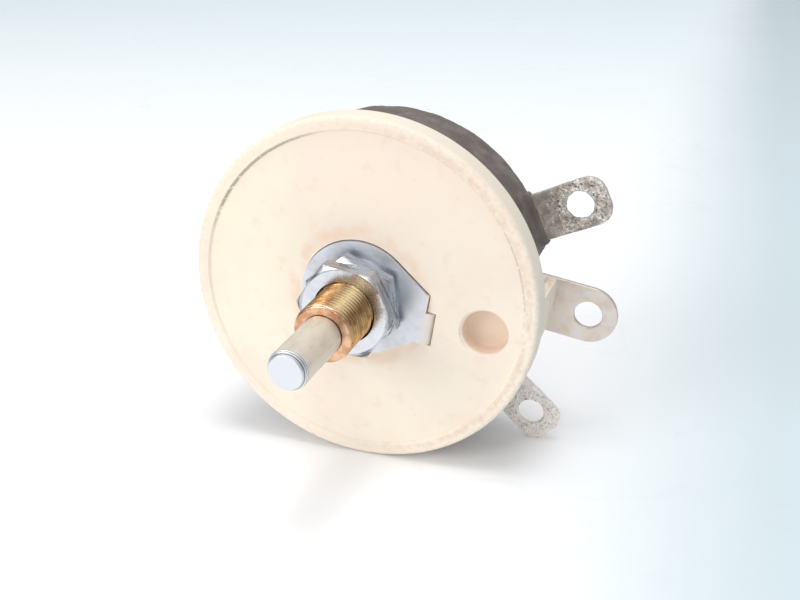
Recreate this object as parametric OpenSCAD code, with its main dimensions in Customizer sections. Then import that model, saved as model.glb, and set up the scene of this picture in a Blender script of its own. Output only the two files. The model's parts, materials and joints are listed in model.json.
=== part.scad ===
// Open wirewound rheostat: ring element on a round ceramic base, wiped by a rotating brush, millimetres.
// The pieces are drawn with the shaft upright: the front face of the base rim is z = 0, the shaft points to +z
// and the centre terminal to +x. place() then lays the control on its side, with the shaft along -Y.

/* [Base] */
// Radius of the ceramic base
base_r = 29.35; // [29:0.05:32]
// Thickness of the base at its rim
base_thick = 4.75; // [4.2:0.05:7]
// Width of the raised rim on the front face
rim_w = 2.2; // [1.5:0.1:3.5]
// Step from the rim down to the front field
rim_step = 0.45; // [0.2:0.05:0.8]
// How far the front field rises from the rim to the hub
field_rise = 0.9; // [0.3:0.1:1.4]
// Rounding of the base's outer edges
base_round = 0.8; // [0.3:0.1:1.2]
// Radius of the ceramic tower behind the base
tower_r = 9.6; // [9.4:0.1:11]
// Width of the bare ceramic boss between the end terminals
boss_w = 9.9; // [9:0.1:12]
// Radius to the outer face of the boss
boss_r = 28.5; // [27.6:0.1:29]
// Radius of the locating hole in the front face
locating_r = 3.7; // [2:0.05:3.9]
// Depth of the locating hole
locating_depth = 3; // [2:0.1:3.4]
// Distance of the locating hole from the shaft
locating_at = 21.15; // [20.5:0.05:22]

/* [Element] */
// Inner radius of the ceramic ring core
core_in_r = 18.35; // [17.5:0.05:19]
// Outer radius of the ceramic ring core
core_out_r = 25.35; // [24.5:0.05:26]
// Height of the wound ring behind the base
element_h = 14.2; // [13:0.1:17]
// Thickness of the wound wire layer
wire_t = 0.35; // [0.2:0.05:0.5]
// Thickness of the vitreous enamel over the winding
enamel_t = 0.9; // [0.7:0.05:1.2]
// Radius of the enamel's rear edges
enamel_round = 1.1; // [0.4:0.1:1.4]
// Width of the bare track that the brush rides on
track_w = 5; // [4.4:0.1:6]
// Angle from the centre terminal to each end of the core
core_end = 17; // [14:0.5:19]

/* [Terminals] */
// Angle from the centre terminal to each end terminal
lug_angle = 33.5; // [31:0.5:40]
// Width of an end lug
lug_w = 8; // [7:0.1:9]
// Width of the centre lug
centre_lug_w = 9.8; // [8:0.1:9.9]
// Thickness of the terminal strip
strip_t = 0.8; // [0.5:0.05:1]
// Radius of a lug hole
lug_hole_r = 2.35; // [1.6:0.05:2.8]
// Distance of an end lug's hole outside the winding
lug_reach = 9.4; // [8:0.05:11]
// How much nearer the shaft the centre lug's hole is
centre_short = 0.7; // [0:0.1:1.5]
// Length of an end lug past its hole's centre
lug_end = 4.8; // [4:0.1:6]
// Rounding of an end lug's corners
lug_round = 2.8; // [1.5:0.1:3.4]
// Distance of the end lugs behind the rim face
end_lug_back = 13.8; // [11:0.1:15]

/* [Bushing and nuts] */
// Radius over the bushing's screw crests
bushing_r = 4.7625; // [4.5:0.0125:5.2]
// Reach of the bushing in front of the rim face
bushing_front = 15.2; // [13:0.1:20]
// Depth of the screw thread
thread_depth = 0.45; // [0.3:0.05:0.6]
// Bevel at the bushing's front end
bushing_bevel = 0.6; // [0.3:0.05:1]
// Radius of the bushing's rear flange
flange_r = 7; // [6:0.1:7.3]
// Thickness of the bushing's rear flange
flange_t = 2; // [1.4:0.1:2.6]
// Size of the nuts across their flats
nut_af = 14.29; // [12.7:0.01:15]
// Thickness of each nut
nut_t = 2.5; // [2:0.1:3]
// Turn of the inner nut
inner_nut_turn = 47; // [0:1:59]
// Turn of the outer nut
outer_nut_turn = 4.5; // [0:0.5:59]
// Thickness of the spring washer below the nuts
washer_t = 0.9; // [0.6:0.05:1.2]
// Radius of the spring washer
washer_r = 6.9; // [6.4:0.05:7]

/* [Anchor plate] */
// Radius of the plate's round end
plate_r = 9.6; // [9:0.1:10.5]
// Thickness of the plate
plate_t = 1.4; // [1:0.1:1.8]
// Height of the plate's face in front of the rim face
plate_top = 1; // [0.8:0.05:1.4]
// Distance of the plate's straight end from the shaft
plate_end = 11.5; // [11:0.1:12.5]
// Angle of the plate's tapering sides
plate_taper = 34; // [28:1:38]
// Width of the bent tab
tab_w = 5.5; // [4.5:0.1:6.5]
// Sideways place of the bent tab
tab_side = -1.9; // [-2:0.1:0.5]
// Depth that the tab reaches behind the rim face
tab_deep = 3; // [2:0.1:3.4]
// Room in the slot beyond the bent tab
slot_open = 0.15; // [0.1:0.05:0.5]

/* [Shaft] */
// Radius of the shaft
shaft_r = 3.175; // [2.9:0.005:3.2]
// Reach of the shaft in front of the rim face
shaft_front = 28.1; // [24:0.1:36]
// Bevel at the shaft's front end
shaft_bevel = 0.54; // [0.3:0.02:0.8]
// Length of the bevelled nose
shaft_nose = 1.1; // [0.4:0.1:2]
// How far the journal is turned down below the knob stretch
journal_neck = 0.2; // [0.18:0.01:0.3]
// Radial running clearance of the journal in the bushing
shaft_clear = 0.05; // [0.02:0.01:0.08]
// Reach of the shaft behind the track
shaft_back = 10.6; // [9.6:0.1:14]

/* [Wiper] */
// Size of the square brush
brush_w = 4; // [3:0.1:4.2]
// Height of the brush behind the track
brush_h = 5; // [4.6:0.1:6]
// Thickness of the contact arm
arm_t = 0.8; // [0.5:0.05:1]
// Width of the contact arm at the brush
arm_w = 6; // [5:0.1:8]
// Radius of the insulating wiper hub
hub_r = 8; // [7.6:0.1:9]
// Height of the insulating wiper hub
hub_h = 3.2; // [2.8:0.1:4]
// Radius of the contact arm's rivets
rivet_r = 0.9; // [0.6:0.05:1.1]
// Wire radius of the pressure spring
spring_wire_r = 0.4; // [0.25:0.05:0.5]
// Turns of the pressure spring
spring_turns = 3; // [2:0.5:4]
// Furthest turn of the brush either way from mid travel
half_travel = 145; // [130:1:146]

/* [Hidden] */
$fn = 96;

// Colours
ceramic_cream = [1, 0.95, 0.88];
core_cream = [0.93, 0.9, 0.84];
enamel_brown = [0.42, 0.38, 0.36];
wire_grey = [0.55, 0.53, 0.5];
tin_grey = [0.68, 0.66, 0.62];
zinc_white = [0.85, 0.87, 0.92];
thread_brass = [0.72, 0.58, 0.33];
shaft_grey = [0.8, 0.78, 0.74];
steel_grey = [0.62, 0.63, 0.65];
graphite_black = [0.16, 0.16, 0.17];
copper_red = [0.75, 0.46, 0.33];

// Clearances and small shared sizes
slip = 0.05;         // between faces that slide on one another
seat_gap = 0.15;     // round a piece that drops into a pocket
cut = 0.5;           // how far a cutting tool overshoots
tab_root = 1;        // where the bent tab starts, inside the plate's straight end
hub_land = 1.35;     // level stretch of the front field beyond the slot
slot_deeper = 0.4;   // room below the bent tab
boss_drop = 2.25;    // from the boss's rear face back to the track
flange_sunk = 1.1;   // from the tower's rear face in to the bushing's flange
saddle_behind = 2;   // reach of a terminal's saddle behind its lug
saddle_ahead = 3;    // reach of a terminal's saddle ahead of its lug
root_swell = 1.2;    // enamel round a lug's root, on every side
crank_out = 4;       // from the hub's edge to the arm's crank
crank_run = 2.5;     // length of the arm's cranked stretch
sink_t = 0.5;        // depth of a nut's countersink
stop_margin = 0.5;   // hub's faces to its stop sector's faces
overlap = 0.01;      // smallest overlap that joins two solids

// Levels, from front to rear
field_hub_z = field_rise - rim_step;
pocket_z = plate_top - plate_t;
washer_z = plate_top;
inner_nut_z = washer_z + washer_t;
outer_nut_z = inner_nut_z + nut_t;
nut_front_z = outer_nut_z + nut_t;
thread_free_z = nut_front_z + 0.1;
base_back_z = -base_thick;
track_z = base_back_z - element_h;
core_front_z = base_back_z - wire_t;
core_back_z = track_z + wire_t;
enamel_back_z = track_z - wire_t;
centre_lug_z = track_z + boss_drop;
flange_back_z = centre_lug_z + flange_sunk;
flange_front_z = flange_back_z + flange_t;
thrust_t = 0.6;
slip_washer_t = 0.5;
collector_z = centre_lug_z - strip_t;
slip_washer_z = collector_z - slip - slip_washer_t;
hub_front_z = slip_washer_z;
hub_back_z = hub_front_z - hub_h;
arm_hub_z = hub_back_z - arm_t;
brush_top_z = track_z - slip - brush_h;
arm_brush_z = brush_top_z - arm_t;
spring_front_z = arm_hub_z;
shaft_back_z = track_z - shaft_back;
ring_t = 0.8;
ring_z = shaft_back_z + 0.9;
seat_t = 0.8;
seat_z = ring_z + ring_t;
spring_back_z = seat_z + seat_t;
spring_h = spring_front_z - spring_back_z;

// Radii and widths
rim_in_r = base_r - rim_w;
field_hub_r = plate_end + plate_t + slot_open + hub_land;
winding_in_r = core_in_r - wire_t;
winding_out_r = core_out_r + wire_t;
enamel_in_r = winding_in_r - enamel_t;
enamel_out_r = winding_out_r + enamel_t;
track_mid_r = (winding_in_r + winding_out_r) / 2;
track_in_r = track_mid_r - track_w / 2;
track_out_r = track_mid_r + track_w / 2;
winding_end = core_end + 5;
strap_w = 1.4;
strap_t = enamel_t / 2;
saddle_low_z = -end_lug_back - strip_t - saddle_behind;
saddle_high_z = -end_lug_back + saddle_ahead;
strap_off = lug_angle - winding_end - asin(strap_w / 2 / winding_out_r);
enamel_end = core_end + 3;
root_w = lug_w + 2 * root_swell;
root_r = enamel_out_r + 1.6;
root_t = strip_t + 2 * root_swell;
lug_hole_at = winding_out_r + lug_reach;
lug_tip = lug_hole_at + lug_end;
round_x = lug_tip - lug_round;
round_y = lug_w / 2 - lug_round;
// Roll of the centre terminal when the control lies on its rim and the corner of its lower lug
lay_roll = lug_angle + atan2(round_y, round_x) - asin((base_r - lug_round) / norm([round_x, round_y]));
centre_hole_at = lug_hole_at - centre_short;
bushing_seat_r = bushing_r - thread_depth / 2;
nut_bore_r = bushing_seat_r + 0.02;
nut_corner_r = nut_af / sqrt(3);
nut_chamfer_r = nut_af * 0.51;
nut_sink_r = bushing_r + 0.7;
bore_clear_r = bushing_r + seat_gap;
washer_in_r = bushing_seat_r + seat_gap;
counterbore_r = flange_r + seat_gap;
journal_r = shaft_r - journal_neck;
bushing_bore_r = journal_r + shaft_clear;
shaft_step_z = bushing_front + 0.2;
collector_in_r = counterbore_r + 0.15;
collector_out_r = tower_r;
washer_hole_r = journal_r + 0.05;
hub_bore_r = journal_r + 0.02;
spring_seat_r = 5.2;
groove_r = journal_r - 0.5;
spring_mean_r = 4.2;
box_wall = 0.7;
box_w = brush_w + 2 * box_wall;
box_h = 2.6;
stop_in_r = hub_r - 0.6;
stop_out_r = 12.9;
ear_in_r = 11.2;
ear_w = 6;
ear_half = asin(ear_w / 2 / (ear_in_r + strip_t));
stop_half = 180 - half_travel - ear_half - 2.2;
ear_back_z = hub_front_z - hub_h + 0.6;
pin_r = 0.8;
rivet_at = 6.2;
rivet_head_r = rivet_r + 0.35;
rivet_head_t = 0.5;
shunt_r = 0.55;
shunt_bow = 1.6;

// Turns the upright control on its side, with the shaft along -Y and the terminals to the +X side.
module place() {
    rotate([90, 0, 0])
        rotate([0, 0, lay_roll])
            children();
}

// A plain ring between two levels.
module ring(inner, outer, low, high) {
    translate([0, 0, low])
        difference() {
            cylinder(r = outer, h = high - low);
            translate([0, 0, -cut])
                cylinder(r = inner, h = high - low + 2 * cut);
        }
}

// A solid cylinder between two levels.
module drum(r, low, high) {
    translate([0, 0, low])
        cylinder(r = r, h = high - low);
}

// Revolves a profile of [radius, level] points from one angle to another.
module sweep(points, from, to) {
    rotate([0, 0, from])
        rotate_extrude(angle = to - from)
            polygon(points);
}

// A rectangular section of the wound ring, grown outwards by t on every side.
function section(t) = [
    [core_in_r - t, core_front_z + t], [core_out_r + t, core_front_z + t],
    [core_out_r + t, core_back_z - t], [core_in_r - t, core_back_z - t]
];

// A round corner of the enamel's section, as points on a quarter circle.
function corner(r, z, from, to, steps = 5) = [
    for (i = [0 : steps])
        let (a = from + (to - from) * i / steps)
            [r + enamel_round * cos(a), z + enamel_round * sin(a)]
];

// The outline of the anchor plate with the root of its tab, grown by g on every side.
module teardrop(g) {
    r = plate_r + g;
    tangent_x = r * sin(plate_taper);
    tangent_y = r * cos(plate_taper);
    end_x = plate_end + g;
    end_y = tangent_y - (end_x - tangent_x) * tan(plate_taper);
    circle(r = r);
    polygon([[tangent_x, tangent_y], [end_x, end_y], [end_x, -end_y], [tangent_x, -tangent_y]]);
    translate([plate_end - tab_root - g, tab_side - tab_w / 2 - g])
        square([tab_root + 2 * g, tab_w + 2 * g]);
}

// The slot that the bent tab drops into, beyond the plate's straight end.
module tab_slot() {
    translate([plate_end - seat_gap, tab_side - tab_w / 2 - seat_gap, -tab_deep - slot_deeper])
        cube([plate_t + slot_open + seat_gap, tab_w + 2 * seat_gap, tab_deep + slot_deeper + plate_top + cut]);
}

// The bent tab, as a rounded corner and a leg.
module bent_tab() {
    translate([0, tab_side, 0])
        rotate([90, 0, 0])
            linear_extrude(tab_w, center = true) {
                intersection() {
                    translate([plate_end, pocket_z])
                        circle(r = plate_t);
                    translate([plate_end - tab_root / 2, pocket_z])
                        square([plate_t + tab_root, plate_t + cut]);
                }
                translate([plate_end, -tab_deep])
                    square([plate_t, tab_deep + pocket_z + overlap]);
            }
}

// The disc of the base, with its raised rim and gently rising front field.
module base_disc() {
    rotate_extrude()
        polygon([
            [0, base_back_z],
            [base_r - base_round, base_back_z],
            [base_r - base_round * 0.3, base_back_z + base_round * 0.3],
            [base_r, base_back_z + base_round],
            [base_r, -base_round],
            [base_r - base_round * 0.3, -base_round * 0.3],
            [base_r - base_round, 0],
            [rim_in_r, 0],
            [rim_in_r - rim_step * 0.6, -rim_step],
            [field_hub_r, field_hub_z],
            [0, field_hub_z]
        ]);
}

// The boss that closes the gap in the ring and carries the centre lug, with a curved outer face.
module base_boss() {
    intersection() {
        ring(core_in_r, boss_r, centre_lug_z, base_back_z + cut);
        translate([0, -boss_w / 2, centre_lug_z])
            cube([base_r, boss_w, base_back_z - centre_lug_z + cut]);
    }
}

module ceramic_base() {
    color(ceramic_cream)
        place()
            difference() {
                union() {
                    base_disc();
                    drum(tower_r, centre_lug_z, base_back_z + cut);
                    base_boss();
                }
                drum(bore_clear_r, centre_lug_z - cut, plate_top + cut);
                drum(counterbore_r, centre_lug_z - cut, flange_front_z);
                translate([0, 0, pocket_z])
                    linear_extrude(plate_t + cut)
                        teardrop(seat_gap);
                tab_slot();
                translate([locating_at, 0, -locating_depth - rim_step])
                    cylinder(r = locating_r, h = locating_depth + rim_step + cut + field_rise);
            }
}

module resistor_core() {
    color(core_cream)
        place()
            sweep(section(0), core_end, 360 - core_end);
}

// The closely wound wire, as a layer right round the core's section.
module resistance_winding() {
    color(wire_grey)
        place()
            difference() {
                sweep(section(wire_t), winding_end, 360 - winding_end);
                sweep(section(0), winding_end - 1, 361 - winding_end);
            }
}

// The outline of an end lug with its rounded corners, in the plane of the lug.
module lug_outline() {
    root = winding_out_r - cut;
    translate([root, -lug_w / 2])
        square([round_x - root, lug_w]);
    translate([root, -round_y])
        square([lug_tip - root, 2 * round_y]);
    for (side = [-1, 1])
        translate([round_x, side * round_y])
            circle(r = lug_round);
}

// A channel of thickness strap_t round the outside, rear and inside of the winding, sunk by deep into it.
module strap_channel(deep, front) {
    inner = winding_in_r + deep;
    outer = winding_out_r - deep;
    rear = track_z + deep;
    rotate_extrude()
        polygon([
            [winding_in_r - strap_t, front], [inner, front], [inner, rear], [outer, rear], [outer, front],
            [winding_out_r + strap_t, front], [winding_out_r + strap_t, track_z - strap_t],
            [winding_in_r - strap_t, track_z - strap_t]
        ]);
}

// The stretch of the ring that one end terminal covers: its saddle at angle 0 and its strap beside it.
module strap_stretch(side) {
    reach = winding_out_r * sin(strap_off);
    translate([core_out_r - 1, -lug_w / 2 - (side + 1) / 2 * (reach - lug_w / 2), saddle_low_z])
        cube([4, lug_w / 2 + reach, saddle_high_z - saddle_low_z]);
    rotate([0, 0, -side * strap_off])
        translate([core_in_r - 4, -strap_w / 2, track_z - 4])
            cube([core_out_r - core_in_r + 8, strap_w, element_h + 8]);
}

// One end terminal at angle 0: a lug on a curved saddle against the winding, and the strap round the end turns.
// side is 1 where the strap lies clockwise of the lug and -1 where it lies anticlockwise.
module end_terminal(side) {
    difference() {
        union() {
            difference() {
                translate([0, 0, -end_lug_back - strip_t])
                    linear_extrude(strip_t)
                        lug_outline();
                drum(winding_out_r + strap_t / 2, -end_lug_back - strip_t - cut, -end_lug_back + cut);
            }
            intersection() {
                strap_channel(0, base_back_z);
                strap_stretch(side);
            }
        }
        translate([lug_hole_at, 0, -end_lug_back - strip_t - cut])
            cylinder(r = lug_hole_r, h = strip_t + 2 * cut);
    }
}

// The room that one end terminal takes in the enamel.
module terminal_room(side) {
    intersection() {
        strap_channel(cut, base_back_z + cut);
        strap_stretch(side);
    }
    translate([winding_out_r - cut, -lug_w / 2, -end_lug_back - strip_t])
        cube([root_r - winding_out_r + 2 * cut, lug_w, strip_t]);
}

module end_terminal_upper() {
    color(tin_grey)
        place()
            rotate([0, 0, lug_angle])
                end_terminal(1);
}

module end_terminal_lower() {
    color(tin_grey)
        place()
            rotate([0, 0, -lug_angle])
                end_terminal(-1);
}

// The swollen enamel where an end lug leaves the ring.
module lug_root() {
    root_in_r = winding_out_r + strap_t / 2;
    translate([root_in_r, -root_w / 2, -end_lug_back - strip_t / 2 - root_t / 2])
        cube([root_r - root_in_r, root_w, root_t]);
}

// Fired enamel over the inner and outer sides of the winding, open along the brush track.
module enamel_coat() {
    outer = concat(
        [[enamel_out_r, base_back_z]],
        corner(enamel_out_r - enamel_round, enamel_back_z + enamel_round, 0, -90),
        [[track_out_r, enamel_back_z], [track_out_r, track_z], [winding_out_r, track_z],
         [winding_out_r, base_back_z]]
    );
    inner = concat(
        [[winding_in_r, base_back_z], [winding_in_r, track_z], [track_in_r, track_z],
         [track_in_r, enamel_back_z]],
        corner(enamel_in_r + enamel_round, enamel_back_z + enamel_round, -90, -180),
        [[enamel_in_r, base_back_z]]
    );
    color(enamel_brown)
        place()
            difference() {
                union() {
                    sweep(outer, enamel_end, 360 - enamel_end);
                    sweep(inner, enamel_end, 360 - enamel_end);
                    for (side = [-1, 1])
                        rotate([0, 0, side * lug_angle])
                            lug_root();
                }
                for (side = [-1, 1])
                    rotate([0, 0, side * lug_angle])
                        terminal_room(side);
            }
}

// The centre lug, its strip over the boss, the collector ring on the tower and the upturned stop ear.
module centre_terminal() {
    color(tin_grey)
        place()
            difference() {
                union() {
                    translate([centre_hole_at, 0, collector_z])
                        cylinder(r = centre_lug_w / 2, h = strip_t);
                    translate([core_in_r, -centre_lug_w / 2, collector_z])
                        cube([centre_hole_at - core_in_r, centre_lug_w, strip_t]);
                    translate([tower_r - 1, -ear_w / 2, collector_z])
                        cube([core_in_r - tower_r + 2, ear_w, strip_t]);
                    drum(collector_out_r, collector_z, centre_lug_z);
                    translate([ear_in_r, -ear_w / 2, ear_back_z])
                        cube([strip_t, ear_w, collector_z - ear_back_z + strip_t / 2]);
                }
                drum(collector_in_r, collector_z - cut, centre_lug_z + cut);
                translate([centre_hole_at, 0, collector_z - cut])
                    cylinder(r = lug_hole_r, h = strip_t + 2 * cut);
            }
}

// The panel bushing: crest cylinder where it is free, pitch cylinder below the nuts, flange at the rear.
module bushing() {
    color(thread_brass)
        place()
            difference() {
                union() {
                    drum(flange_r, flange_back_z, flange_front_z);
                    drum(bushing_r, flange_front_z - cut, pocket_z);
                    drum(bushing_seat_r, pocket_z - cut, thread_free_z + cut);
                    drum(bushing_r, thread_free_z, bushing_front - bushing_bevel);
                    translate([0, 0, bushing_front - bushing_bevel])
                        cylinder(r1 = bushing_r, r2 = bushing_r - bushing_bevel, h = bushing_bevel);
                }
                drum(bushing_bore_r, flange_back_z - cut, bushing_front + cut);
            }
}

// The plate that keys the bushing to the base, with one end bent down into a slot.
module anchor_plate() {
    color(zinc_white)
        place()
            difference() {
                union() {
                    translate([0, 0, pocket_z])
                        linear_extrude(plate_t)
                            teardrop(0);
                    bent_tab();
                }
                drum(bushing_r + slip, pocket_z - cut, plate_top + cut);
            }
}

// A spring washer with one slanted split.
module spring_washer() {
    color(zinc_white)
        place()
            difference() {
                ring(washer_in_r, washer_r, washer_z, inner_nut_z);
                rotate([0, 0, 200])
                    translate([0, -0.3, washer_z - cut])
                        cube([washer_r + cut, 0.6, washer_t + 2 * cut]);
            }
}

// A thin hexagon nut with its outer face chamfered, its inner face at z.
module hex_nut(z, turn) {
    rise = (nut_corner_r - nut_chamfer_r) * tan(30);
    slope = cut * tan(30);
    difference() {
        intersection() {
            translate([0, 0, z])
                rotate([0, 0, turn])
                    cylinder(r = nut_corner_r, h = nut_t, $fn = 6);
            rotate_extrude()
                polygon([
                    [0, z], [nut_corner_r + cut, z], [nut_corner_r + cut, z + nut_t - rise - slope],
                    [nut_corner_r, z + nut_t - rise], [nut_chamfer_r, z + nut_t], [0, z + nut_t]
                ]);
        }
        drum(nut_bore_r, z - cut, z + nut_t + cut);
        translate([0, 0, z + nut_t - sink_t])
            cylinder(r1 = nut_bore_r, r2 = nut_sink_r, h = sink_t + overlap / 10);
    }
}

module inner_nut() {
    color(zinc_white)
        place()
            hex_nut(inner_nut_z, inner_nut_turn);
}

module outer_nut() {
    color(zinc_white)
        place()
            hex_nut(outer_nut_z, outer_nut_turn);
}

// The turned shaft: bevelled knob end, journal through the bushing and a clip groove at the rear.
module shaft() {
    color(shaft_grey)
        place()
            difference() {
                union() {
                    drum(journal_r, shaft_back_z, shaft_step_z + shaft_nose);
                    drum(shaft_r, shaft_step_z, shaft_front - shaft_nose);
                    translate([0, 0, shaft_front - shaft_nose])
                        cylinder(r1 = shaft_r, r2 = shaft_r - shaft_bevel, h = shaft_nose);
                }
                ring(groove_r, shaft_r + cut, ring_z - slip, ring_z + ring_t);
                pin_bore();
            }
}

// The cross hole that takes the pin through the hub and the shaft.
module pin_bore() {
    translate([0, 0, (hub_front_z + hub_back_z) / 2])
        rotate([90, 0, 0])
            cylinder(r = pin_r, h = 2 * hub_r - 2, center = true);
}

module hub_pin() {
    color(steel_grey)
        place()
            pin_bore();
}

module thrust_washer() {
    color(thread_brass)
        place()
            ring(washer_hole_r, flange_r - 0.8, flange_back_z - slip - thrust_t, flange_back_z - slip);
}

// The springy washer that brings the current from the collector ring to the wiper.
module slip_washer() {
    color(thread_brass)
        place()
            ring(collector_in_r + 0.2, collector_out_r - 0.2, slip_washer_z, collector_z - slip);
}

// The insulating hub on the shaft, with the sector that meets the stop ear at each end of the travel.
module wiper_hub() {
    color(ceramic_cream)
        place()
            difference() {
                union() {
                    drum(collector_out_r - 0.2, hub_front_z - 1, hub_front_z);
                    drum(hub_r, hub_back_z, hub_front_z);
                    drum(flange_r - 1, hub_front_z - cut, flange_back_z - slip - thrust_t);
                    rotate([0, 0, 180 - stop_half])
                        rotate_extrude(angle = 2 * stop_half)
                            translate([stop_in_r, hub_back_z + stop_margin])
                                square([stop_out_r - stop_in_r, hub_h - 2 * stop_margin]);
                }
                drum(hub_bore_r, hub_back_z - cut, flange_back_z + cut);
                pin_bore();
                for (side = [-1, 1])
                    translate([-rivet_at * cos(60), side * rivet_at * sin(60), hub_back_z - cut])
                        cylinder(r = rivet_r, h = hub_h - 1 + cut);
            }
}

// The flat spring arm: an eye on the hub, a tapering blade and a cranked end over the brush.
module contact_arm() {
    crank_x = -(hub_r + crank_out);
    crank_end = crank_x + track_mid_r + box_w / 2;
    eye_r = hub_r - 0.4;
    blade_half = hub_r - 0.6;
    color(steel_grey)
        place()
            difference() {
                union() {
                    drum(eye_r, arm_hub_z, hub_back_z);
                    translate([0, 0, arm_hub_z])
                        linear_extrude(arm_t)
                            polygon([
                                [0, -blade_half], [crank_x, -arm_w / 2], [crank_x, arm_w / 2], [0, blade_half]
                            ]);
                    translate([crank_x, 0, 0])
                        rotate([90, 0, 0])
                            linear_extrude(arm_w, center = true)
                                polygon([
                                    [overlap, arm_hub_z], [overlap, hub_back_z],
                                    [-crank_run, arm_brush_z + arm_t], [-crank_end, arm_brush_z + arm_t],
                                    [-crank_end, arm_brush_z], [-crank_run, arm_brush_z]
                                ]);
                }
                drum(spring_mean_r - 0.7, arm_hub_z - cut, hub_back_z + cut);
                for (side = [-1, 1])
                    translate([-rivet_at * cos(60), side * rivet_at * sin(60), arm_hub_z - cut])
                        cylinder(r = rivet_r, h = arm_t + 2 * cut);
            }
}

// Two rivets that hold the arm to the hub.
module arm_rivets() {
    color(thread_brass)
        place()
            for (side = [-1, 1])
                translate([-rivet_at * cos(60), side * rivet_at * sin(60), 0]) {
                    drum(rivet_r, arm_hub_z - overlap, hub_front_z - 1);
                    drum(rivet_head_r, arm_hub_z - rivet_head_t, arm_hub_z);
                }
}

// The open box below the arm's end that guides the brush.
module brush_box() {
    color(thread_brass)
        place()
            translate([-track_mid_r, 0, brush_top_z])
                difference() {
                    translate([-box_w / 2, -box_w / 2, 0])
                        cube([box_w, box_w, box_h]);
                    translate([-brush_w / 2 - 0.02, -brush_w / 2 - 0.02, -cut])
                        cube([brush_w + 0.04, brush_w + 0.04, box_h + 2 * cut]);
                }
}

module brush() {
    color(graphite_black)
        place()
            translate([-track_mid_r - brush_w / 2, -brush_w / 2, brush_top_z])
                cube([brush_w, brush_w, brush_h]);
}

// Points of the shunt's path, along the rear of the arm from the brush to the hub.
function shunt_path(steps = 14) = [
    for (i = [0 : steps])
        let (t = i / steps)
            [
                -track_mid_r + t * (track_mid_r - hub_r + 1.2),
                0.6 * sin(360 * t),
                arm_brush_z + t * (arm_hub_z - arm_brush_z) - shunt_r - shunt_bow * sin(180 * t)
            ]
];

// A round tube swept along a path that stays near the x direction.
module tube(path, r, sides = 10) {
    points = [
        for (p = path)
            for (k = [0 : sides - 1])
                p + [0, r * cos(360 * k / sides), r * sin(360 * k / sides)]
    ];
    last = len(path) - 1;
    faces = concat(
        [[for (k = [0 : sides - 1]) k]],
        [
            for (i = [0 : last - 1])
                for (k = [0 : sides - 1])
                    let (n = (k + 1) % sides)
                        [i * sides + k, (i + 1) * sides + k, (i + 1) * sides + n, i * sides + n]
        ],
        [[for (k = [sides - 1 : -1 : 0]) last * sides + k]]
    );
    polyhedron(points, faces);
}

// The flexible braid from the brush to the slip contact.
module brush_shunt() {
    color(copper_red)
        place()
            tube(shunt_path(), shunt_r);
}

// Points of the helical pressure spring's wire, one ring of sides per step.
function helix_ring(a, z, sides) = [
    for (k = [0 : sides - 1])
        let (b = 360 * k / sides)
            let (r = spring_mean_r + spring_wire_r * cos(b))
                [r * cos(a), r * sin(a), z + spring_wire_r * sin(b)]
];

module pressure_spring() {
    sides = 8;
    per_turn = 28;
    steps = spring_turns * per_turn;
    rise = spring_h - 2 * spring_wire_r;
    points = [
        for (i = [0 : steps])
            each helix_ring(360 * i / per_turn, spring_back_z + spring_wire_r + rise * i / steps, sides)
    ];
    faces = concat(
        [[for (k = [0 : sides - 1]) k]],
        [
            for (i = [0 : steps - 1])
                for (k = [0 : sides - 1])
                    let (n = (k + 1) % sides)
                        [i * sides + k, (i + 1) * sides + k, (i + 1) * sides + n, i * sides + n]
        ],
        [[for (k = [sides - 1 : -1 : 0]) steps * sides + k]]
    );
    color(steel_grey)
        place()
            polyhedron(points, faces);
}

// The washer that the pressure spring pushes against.
module spring_seat() {
    color(steel_grey)
        place()
            ring(washer_hole_r, spring_seat_r, seat_z, spring_back_z);
}

// The open clip in the shaft's rear groove.
module retaining_ring() {
    color(steel_grey)
        place()
            difference() {
                ring(groove_r + 0.02, spring_seat_r - 0.7, ring_z, ring_z + ring_t - 0.01);
                translate([0, -groove_r * 0.7, ring_z - cut])
                    cube([spring_seat_r + cut, groove_r * 1.4, ring_t + 2 * cut]);
            }
}

ceramic_base();
resistor_core();
resistance_winding();
enamel_coat();
end_terminal_upper();
end_terminal_lower();
centre_terminal();
bushing();
anchor_plate();
spring_washer();
inner_nut();
outer_nut();
shaft();
thrust_washer();
slip_washer();
wiper_hub();
hub_pin();
contact_arm();
arm_rivets();
brush_box();
brush();
brush_shunt();
pressure_spring();
spring_seat();
retaining_ring();
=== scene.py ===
"""Looks of an open wirewound rheostat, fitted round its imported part.

Every sub-assembly is a class: its fields are sizes in millimetres with the shaft upright, and its methods
build the meshes and dress them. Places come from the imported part, and each piece is laid on its side as it is
finished.
"""

import json
import logging
import math
from dataclasses import dataclass
from enum import Enum
from typing import Any, Callable, Iterable, Optional, Sequence, Union

import bmesh
import bpy
from mathutils import Euler, Matrix, Vector, noise


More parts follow.
